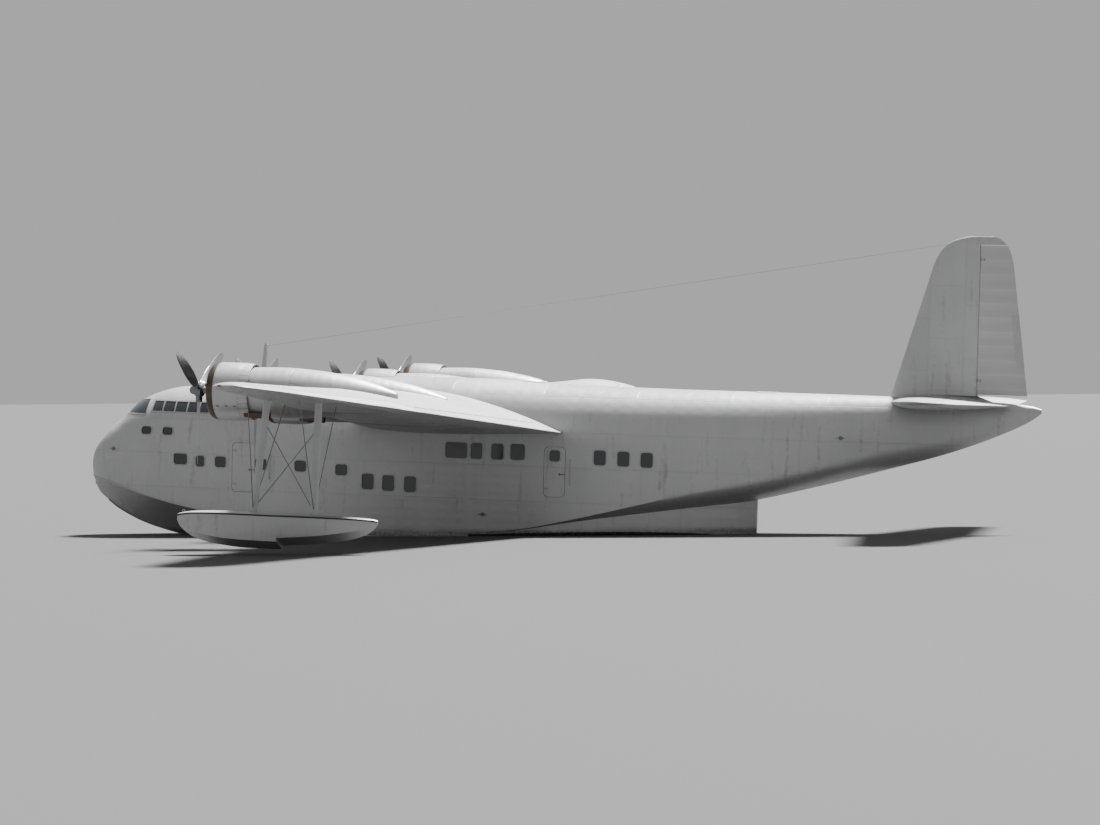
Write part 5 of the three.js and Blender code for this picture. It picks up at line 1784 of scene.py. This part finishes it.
edges = [around(way, door_outline(*size, OPENING_EDGE)) for way, *size, _ in DOORS.values()]
rim_paths = []
for way, station, height, width, tall in WINDOWS:
    middle = rounded(station, height, width + RIM_WIDTH, tall + RIM_WIDTH, WINDOW_CORNER + RIM_WIDTH / 2)
    rim_paths.append([(point + facing * RIM_PROUD * MM, facing) for point, facing in around(way, middle)])
chines = [chine_path(way, *CHINE_ENDS, lift) for way in SIDES for lift in CHINE_LIFTS]
hull_rows = [rows("opening_rivets", edges, rivet, OPENING_PITCH, hull_skin, closed=True)]
hull_rows.append(rows("chine_rivets", chines, rivet, CHINE_PITCH, hull_skin))
hand_over(joined("hull_rivets", hull_rows), None)
hand_over(rows("window_screws", rim_paths, screw, RIM_PITCH, frame_metal, closed=True), None)

keel_path = []
for station in np.linspace(*KEEL_ENDS, KEEL_STEPS):
    rise = keel_height(station + KEEL_REACH) - keel_height(station)
    facing = Vector((0, rise, -KEEL_REACH)).normalized()
    keel_path.append((place(0, station, keel_height(station)), facing))
# The keel strip takes the bottom's finish, its paint and painted shade.
strips = [strip(keel_path, *KEEL_STRIP, bottom_paint_and_shade)]
for way in SIDES:
    path = chine_path(way, *CHINE_STRIP_ENDS, CHINE_STRIP_LIFT)
    strips.append(strip(path, *CHINE_STRIP, strut_paint))
for way, start, end, _, high, _ in DOORS.values():
    strips.append(strip(gutter_path(way, start, end, high), *GUTTER_STRIP, strut_paint))
hand_over(joined("hull_strips", strips), None)
print("rows on the hull:", len(edges) + len(rim_paths) + len(chines))

# %% Hatches on the roof
# Columns: station, side, length along the boat, width.
ROOF_HATCHES = [(640, 0, 420, 460), (3050, -520, 560, 560), (12900, 0, 620, 560), (19400, 0, 560, 520)]
FRAME_WIDTH, FRAME_CORNER, LID_CORNER = 70, 95, 70
FRAME_PROUD, LID_PROUD, HATCH_SUNK = 6, 13, 10
GRIP_SHARE, GRIP_HALF, GRIP_LIFT, POST_LENGTH = 0.3, 90, 30, 45


def roof_height(station, side):
    """The height of the roof above a side."""
    half = hull_half(station)
    for (x0, z0), (x1, z1) in zip(half, half[1:]):
        if x1 <= abs(side) <= x0 and z1 > z0:
            return mix(z0, z1, (x0 - abs(side)) / (x0 - x1))
    return half[-1][1]


def roof_hatch(station, side, length, width):
    frame = rounded(station, side, length + FRAME_WIDTH, width + FRAME_WIDTH, FRAME_CORNER)
    lid = rounded(station, side, length, width, LID_CORNER)
    across = station + length * GRIP_SHARE
    grip = [place(side + x, across, roof_height(across, side) + GRIP_LIFT) for x in (-GRIP_HALF, GRIP_HALF)]
    pieces = [paint(skin_slab("hatch_frame", frame, 0, -FRAME_PROUD, HATCH_SUNK), strut_paint)]
    pieces.append(paint(skin_slab("hatch_lid", lid, 0, -LID_PROUD, HATCH_SUNK), hull_skin))
    pieces.append(paint(bar("grip", *grip, 8, 8, 12), hub_metal))
    for end in grip:
        pieces.append(paint(bar("post", end, end - Vector((0, 0, POST_LENGTH * MM)), 7, 7, 10), hub_metal))
    return pieces


fittings = [piece for row in ROOF_HATCHES for piece in roof_hatch(*row)]
print("hatches on the roof:", len(ROOF_HATCHES))

# %% Rails, mooring gear and beaching pads
# Columns: way, station, height from and to.
RAILS = [(1, 5745, 2250, 2900), (1, 14310, 2400, 3050), (-1, 6005, 2250, 2900)]
RAIL_OFF, RAIL_PAST = 62, 25
# Columns: station and height.
CLEATS = [(980, 2900), (11900, 1500), (21600, 3900)]
CLEAT_OFF, CLEAT_FEET, HORN_LENGTH, HORN_RISE = 52, 30, 115, 58
PAD_STATION, PAD_HEIGHT, PAD_SIZE, PAD_PROUD = 9500, 1690, (300, 300, 45), 6
PAD_BOLTS, PAD_BOLT_OUT, HOOP_STEPS = 8, 115, 24
TAIL_LAMP = [(26760, 26), (26800, 32), (26820, 22), (26826, 6)]
TAIL_LAMP_HEIGHT, TOWING_RING = 4792, (0, 62, 1880)


def boss(point, facing, sunk, proud, radii, segments):
    """A round foot or plate that stands square on the skin."""
    return bar("boss", point - facing * sunk * MM, point + facing * proud * MM, *radii, segments)


def rail(way, station, low, high):
    """An upright grab rail on two feet."""
    ends = [on_skin(way, station, height) for height in (low, high)]
    start, end = (point + facing * RAIL_OFF * MM for point, facing in ends)
    past = (end - start).normalized() * RAIL_PAST * MM
    pieces = [boss(*spot, 6, RAIL_OFF, (9, 9), 12) for spot in ends]
    pieces += [boss(*spot, 4, 5, (26, 24), 20) for spot in ends]
    pieces.append(bar("rail", start - past, end + past, 11, 11, 16))
    return [paint(piece, strut_paint) for piece in pieces]


def cleat(way, station, height):
    """A horn cleat: a plate, two feet and two horns."""
    middle, facing = on_skin(way, station, height)
    aft = (AFT - facing * facing.y).normalized()
    pieces = [boss(middle, facing, 5, 6, (62, 58), 24)]
    for t in (-1, 1):
        pieces.append(boss(middle + aft * t * CLEAT_FEET * MM, facing, 0, CLEAT_OFF, (12, 10), 12))
        tip = middle + facing * HORN_RISE * MM + aft * t * HORN_LENGTH * MM
        pieces.append(bar("horn", middle + facing * CLEAT_OFF * MM, tip, 13, 7, 12))
    return [paint(piece, hub_metal) for piece in pieces]


def pad(way):
    """A beaching pad with a ring of bolts."""
    middle, facing = on_skin(way, PAD_STATION, PAD_HEIGHT)
    plate = skin_slab("pad", rounded(PAD_STATION, PAD_HEIGHT, *PAD_SIZE), way, -8, PAD_PROUD)
    turn_out = (-UP).rotation_difference(facing).to_matrix().to_4x4()
    lay = Matrix.Translation(middle + facing * PAD_PROUD * MM) @ turn_out
    return [paint(plate, strut_paint), moved(bolts("pad_bolts", 12, PAD_BOLTS, PAD_BOLT_OUT, 1), lay)]


def hoop(name, centre, axis, radius, thick):
    """A ring of round bar."""
    side = axis.orthogonal().normalized()
    other = axis.cross(side)
    rings = []
    for i in range(HOOP_STEPS):
        t = 2 * math.pi * i / HOOP_STEPS
        out = side * math.cos(t) + other * math.sin(t)
        rings.append(circle(centre + out * radius * MM, out.cross(axis), thick * MM, 10))
    return loft(name, rings, ring_closed=True)


for row in RAILS:
    fittings += rail(*row)
for way in SIDES:
    for row in CLEATS:
        fittings += cleat(way, *row)
    fittings += pad(way)
fittings.append(paint(hoop("towing_ring", place(*TOWING_RING), PORT, 48, 12), hub_metal))
fittings.append(paint(turned("tail_lamp", TAIL_LAMP, 0, TAIL_LAMP_HEIGHT, 20), clear_lamp))
print("fittings on the hull:", len(fittings), "pieces")
hand_over(joined("hull_fittings", fittings), None)

# %% Covers, rivets and lamps of the wings
# Columns: share of the chord, sides from and to, and whether on the top.
COVER_LINES = [(0.5, (2900, 15600), True), (0.3, (2900, 15600), False), (0.62, (2900, 15600), False)]
COVER_PITCH, COVER_STEPS, SHARE_STEP = 920, 20, 0.01
SEAM_SIDES, SEAM_PITCH = (16110, 16150, 1650, 1690), 110
LAMP_SIDES, LAMP_RIM, LAMP_AHEAD, LAMP_LENGTH = (10900, 11330), 28, 60, 250
PATCH_HEIGHTS, PATCH_PAST = (2000, 9000), 50


def wing_surface(side, share, top=True):
    """A place on the wing's upper or lower surface, and the way that it faces."""
    spots = []
    for at in (share - SHARE_STEP, share, share + SHARE_STEP):
        middle, half = rib_middle(wing_rib(side), at)
        spots.append(middle + UP * (half if top else -half) * MM)
    facing = PORT.cross(spots[2] - spots[0]).normalized()
    return spots[1], facing if top else -facing


def section_path(rib):
    """The outline of a rib, with the way out at each point."""
    points = rib_points(rib)
    neighbours = zip(points, points[1:], points[2:])
    return [(point, (after - before).cross(PORT).normalized()) for before, point, after in neighbours]


def thicker(thickness, chord, grown):
    """The thickness share of a section that has grown by a length all round."""
    return (thickness * chord + 2 * grown) / (chord + 2 * grown)


def patch(rib_of, sides, fronts, backs, proud, sunk):
    """The skin of a lifting surface between two sides, each with its front and back station.

    It is proud of the surface and sunk into it by lengths in millimetres."""
    skins = []
    for grown in (proud, -sunk):
        ribs = []
        for side in (sides[0] - PATCH_PAST, sides[1] + PATCH_PAST):
            rib = dict(rib_of(side))
            rib["thickness"] = thicker(rib["thickness"], rib["chord"], grown)
            rib["leading"] -= grown
            rib["chord"] += 2 * grown
            ribs.append(rib_points(rib, 60))
        skins.append(loft("skin", ribs))
    corners = [(sides[0], fronts[0]), (sides[1], fronts[1]), (sides[1], backs[1]), (sides[0], backs[0])]
    whole = loft("patch", [[place(side, station, z) for side, station in corners] for z in PATCH_HEIGHTS])
    return carve(carve(whole, [skins[0]], "INTERSECT"), [skins[1]])


def port_wing_fittings():
    covers = []
    for share, span, top in COVER_LINES:
        covers.append([wing_surface(side, share, top) for side in np.linspace(*span, COVER_STEPS)])
    pieces = [rows("covers", covers, cover, COVER_PITCH, wing_skin)]
    seams = [section_path(wing_rib(side)) for side in SEAM_SIDES]
    pieces.append(rows("seam_rivets", seams, rivet, SEAM_PITCH, wing_skin))
    inner, outer = LAMP_SIDES
    ahead = wing_rib(inner)["leading"]
    front, back = ahead - LAMP_AHEAD, ahead + LAMP_LENGTH
    lens = patch(wing_rib, LAMP_SIDES, (front, front), (back, back), 1.5, 8)
    pieces.append(paint(lens, clear_lamp))
    backs = (back + LAMP_RIM, back + LAMP_RIM)
    rim = patch(wing_rib, (inner - LAMP_RIM, outer + LAMP_RIM), (front, front), backs, 5, 6)
    low, high = PATCH_HEIGHTS
    hole = block("hole", (inner, front - 10, low), (outer, back, high))
    pieces.append(paint(carve(rim, [hole]), frame_metal))
    return joined("wing_fittings", pieces)


wing_details = port_wing_fittings()
print("fittings on a wing:", len(wing_details.data.polygons), "faces")

# %% Fittings of the floats
# Lines along a float's side: share of the way up, from and to, steps.
FLOAT_RIVETS = [(0.09, 120, FLOAT_JOINT - 20, 30), (0.09, FLOAT_JOINT + 30, 5120, 30)]
DECK_RIVETS, DECK_EDGE, EDGE_STRIP = (0.9, 160, 5080, 50), (0.965, 15, 5190, 80), (17, 13)
FLOAT_PITCH, FLOAT_COVERS, DECK_REACH = 95, (1500, 2600, 4150), 20
TOW_EYE, TOW_EYE_LIFT = 150, 25


def float_path(out, share, start, end, count):
    """A line along a float's side, from its chine (share 0) to its deck edge (share 1), and the ways out."""
    points = []
    for along in np.linspace(start, end, count):
        _, chine_height, chine, deck_height, deck = float_line(along)
        side, height = mix(chine, deck, share), mix(chine_height, deck_height, share)
        points.append(place(FLOAT_SIDE + out * side, FLOAT_STATION + along, FLOAT_KEEL + height))
    ways = [after - before for before, after in zip(points, points[1:])]
    ways.append(ways[-1])
    return [(point, Vector((out * way.y, -out * way.x, 0)).normalized()) for point, way in zip(points, ways)]


def float_top(along):
    """A place on the middle of a float's deck, and the way up there."""
    here, behind = (float_line(at)[3] + FLOAT_CROWN for at in (along, along + DECK_REACH))
    spot = place(FLOAT_SIDE, FLOAT_STATION + along, FLOAT_KEEL + here)
    return spot, Vector((0, here - behind, DECK_REACH)).normalized()


def port_float_fittings():
    chines = [float_path(out, *line) for out in (-1, 1) for line in FLOAT_RIVETS]
    pieces = [rows("chine_rivets", chines, rivet, FLOAT_PITCH, hull_skin)]
    edges = [float_path(out, *DECK_RIVETS) for out in (-1, 1)]
    pieces.append(rows("deck_rivets", edges, rivet, FLOAT_PITCH, hull_skin))
    # Black strips along the deck edges: rubbing strakes whose black is also painted shade of the edge.
    pieces += [strip(float_path(out, *DECK_EDGE), *EDGE_STRIP, black_rubber_and_edge_shade) for out in (-1, 1)]
    for along in FLOAT_COVERS:
        spot, facing = float_top(along)
        turn_up = UP.rotation_difference(facing).to_matrix().to_4x4()
        lid = paint(copy_of(cover, "lid"), strut_paint)
        pieces.append(moved(lid, Matrix.Translation(spot) @ turn_up))
    spot, _ = float_top(TOW_EYE)
    pieces.append(paint(hoop("tow_eye", spot + UP * TOW_EYE_LIFT * MM, PORT, 34, 8), hub_metal))
    return joined("float_fittings", pieces)


float_details = port_float_fittings()
for side_name, piece in (("starboard", mirrored(float_details, "fittings")), ("port", float_details)):
    piece.name = f"float_{side_name}_fittings"
    hand_over(piece, None)
print("fittings on a float:", len(float_details.data.polygons), "faces")

# %% Tip lamps
LAMP_RIB = TIP_RIBS[TIP_STEPS * 5 // 8]
# Lengths and radii of turned parts along the boat.
LAMP_LENS = [(-70, 8), (-58, 22), (-30, 33), (10, 35), (60, 28), (120, 8)]
LAMP_BASE, LAMP_SEGMENTS = [(4, 38), (30, 41), (150, 12)], 20


def tip_lamp(way, glass_paint):
    nose = min(rib_points(LAMP_RIB), key=lambda point: point.y)
    front = Vector((way * nose.x, nose.y, nose.z))
    pieces = []
    for name, profile, material in (("lens", LAMP_LENS, glass_paint), ("base", LAMP_BASE, frame_metal)):
        rings = [circle(front + AFT * y * MM, AFT, radius * MM, LAMP_SEGMENTS) for y, radius in profile]
        pieces.append(paint(loft(name, rings), material))
    return pieces


for way, lamp_paint in ((-1, starboard_lamp), (1, port_lamp)):
    piece = wing_details if way > 0 else mirrored(wing_details, "wing_fittings")
    piece = joined("wing_fittings_" + SIDES[way], [piece, *tip_lamp(way, lamp_paint)])
    hand_over(piece, None)
print("the port lamp is on the rib at", round(LAMP_RIB["side"]), "mm")

# %% Trim tabs
TAB_PROUD, TAB_SUNK, TAB_PAST = 2.5, 40, 2000
# Columns: kind, ribs, sides from and to, share of the chord where the tab begins.
TABS = [("aileron", wing_rib, (10900, 12100), 0.945), ("elevator", tail_rib, (1500, 2700), 0.93)]
RUDDER_TAB_HEIGHTS, RUDDER_TAB_CHORD = (5900, 7300), 210
RUDDER_TAB_BACK, RUDDER_TAB_HALF = 27000, 300


def tab(rib_of, sides, share):
    """A trim tab: a slightly proud metal plate along the trailing edge, from a share of the chord."""
    fronts = [rib_of(side)["leading"] + rib_of(side)["chord"] * share for side in sides]
    piece = patch(rib_of, sides, fronts, [front + TAB_PAST for front in fronts], TAB_PROUD, TAB_SUNK)
    return paint(piece, strut_paint)


def fin_skin(grown):
    """The fin's loft over the tab's heights, thicker all round by a length in millimetres."""
    low, high = RUDDER_TAB_HEIGHTS
    rings = []
    for height in (low - PATCH_PAST, high + PATCH_PAST):
        leading, trailing, thickness = fin_row(height)
        thickness = thicker(thickness, trailing - leading, grown)
        rings.append(fin_ring(height, leading - grown, trailing + grown, thickness))
    return loft("fin_skin", rings)


def rudder_tab():
    low, high = RUDDER_TAB_HEIGHTS
    front_low, front_high = (fin_row(height)[1] - RUDDER_TAB_CHORD for height in RUDDER_TAB_HEIGHTS)
    corners = [(front_low, low), (RUDDER_TAB_BACK, low), (RUDDER_TAB_BACK, high), (front_high, high)]
    sides = (-RUDDER_TAB_HALF, RUDDER_TAB_HALF)
    whole = loft("tab", [[place(side, station, z) for station, z in corners] for side in sides])
    piece = carve(carve(whole, [fin_skin(TAB_PROUD)], "INTERSECT"), [fin_skin(-TAB_SUNK)])
    return paint(piece, strut_paint)


for kind, *shape in TABS:
    piece = tab(*shape)
    for way in (-1, 1):
        twin = mirrored(piece, kind) if way < 0 else piece
        twin.name = f"{kind}_{SIDES[way]}_tab"
        hand_over(twin, None, f"{kind}_{SIDES[way]}")
piece = rudder_tab()
piece.name = "rudder_tab"
hand_over(piece, None, "rudder")
for thing in (rivet, screw, cover):
    bpy.data.objects.remove(thing)

# %% [markdown]
# ## Mast and aerial
#
# A flat mast stands on the roof behind the flight deck. One taut wire runs from its top to the fin.

# %% The aerial mast and its wire
MAST_FOOT, MAST_TOP, MAST_SEGMENTS = place(0, 4950, 4760), place(0, 5010, 5930), 32
AERIAL_DROP, AERIAL_END, AERIAL_RADIUS = 40, place(0, 24350, 9180), 4
mast = paint(bar("mast", MAST_FOOT, MAST_TOP, 110, 55, MAST_SEGMENTS, 0.45), strut_paint)
cap = paint(bar("cap", MAST_TOP, MAST_TOP + UP * 30 * MM, 52, 30, MAST_SEGMENTS, 0.5), strut_paint)
hand_over(joined("aerial_mast_post", [mast, cap]), None, "hull", ("aerial_mast",))
aerial = bar("aerial", MAST_TOP - UP * AERIAL_DROP * MM, AERIAL_END, AERIAL_RADIUS, AERIAL_RADIUS, 8)
hand_over(joined("aerial_wires", [aerial]), wire_steel, "hull", ())
print("the aerial runs over", round((AERIAL_END - MAST_TOP).length, 1), "m")

# %% [markdown]
# ## Floor, light and the end
#
# The floor lies at the waterline, so the boat sits in it as in calm water. It is as pale as the background.
# One soft sun from high up behind the boat's starboard side gives the photograph's light, and the world
# fills it.

# %% Floor and light
FLOOR_SIZE, FLOOR_GREY, SKY_GREY, SKY_STRENGTH = 1600, 0.068, 0.5, 0.92
SUN_FROM, SUN_ENERGY, SUN_SPREAD_DEG = Vector((-0.42, 0.2, 0.88)), 20, 12
bpy.ops.mesh.primitive_plane_add(size=FLOOR_SIZE, location=(0, 0, 0))
floor = bpy.context.object
floor.name = "floor"
floor_finish = Finish("pale_floor", base_color=(FLOOR_GREY, FLOOR_GREY, FLOOR_GREY, 1), roughness=0.95)
floor.data.materials.append(floor_finish.material)

world = bpy.data.worlds.new("plain_sky")
world.use_nodes = True
sky = world.node_tree.nodes["Background"].inputs
sky["Color"].default_value = (SKY_GREY, SKY_GREY, SKY_GREY, 1)
sky["Strength"].default_value = SKY_STRENGTH
scene.world = world

sun = bpy.data.objects.new("sun", bpy.data.lights.new("sun", "SUN"))
sun.data.energy = SUN_ENERGY
sun.data.angle = math.radians(SUN_SPREAD_DEG)
sun.rotation_mode = "QUATERNION"
sun.rotation_quaternion = SUN_FROM.to_track_quat("Z", "Y")
scene.collection.objects.link(sun)
print("the sun is", SUN_SPREAD_DEG, "degrees wide")
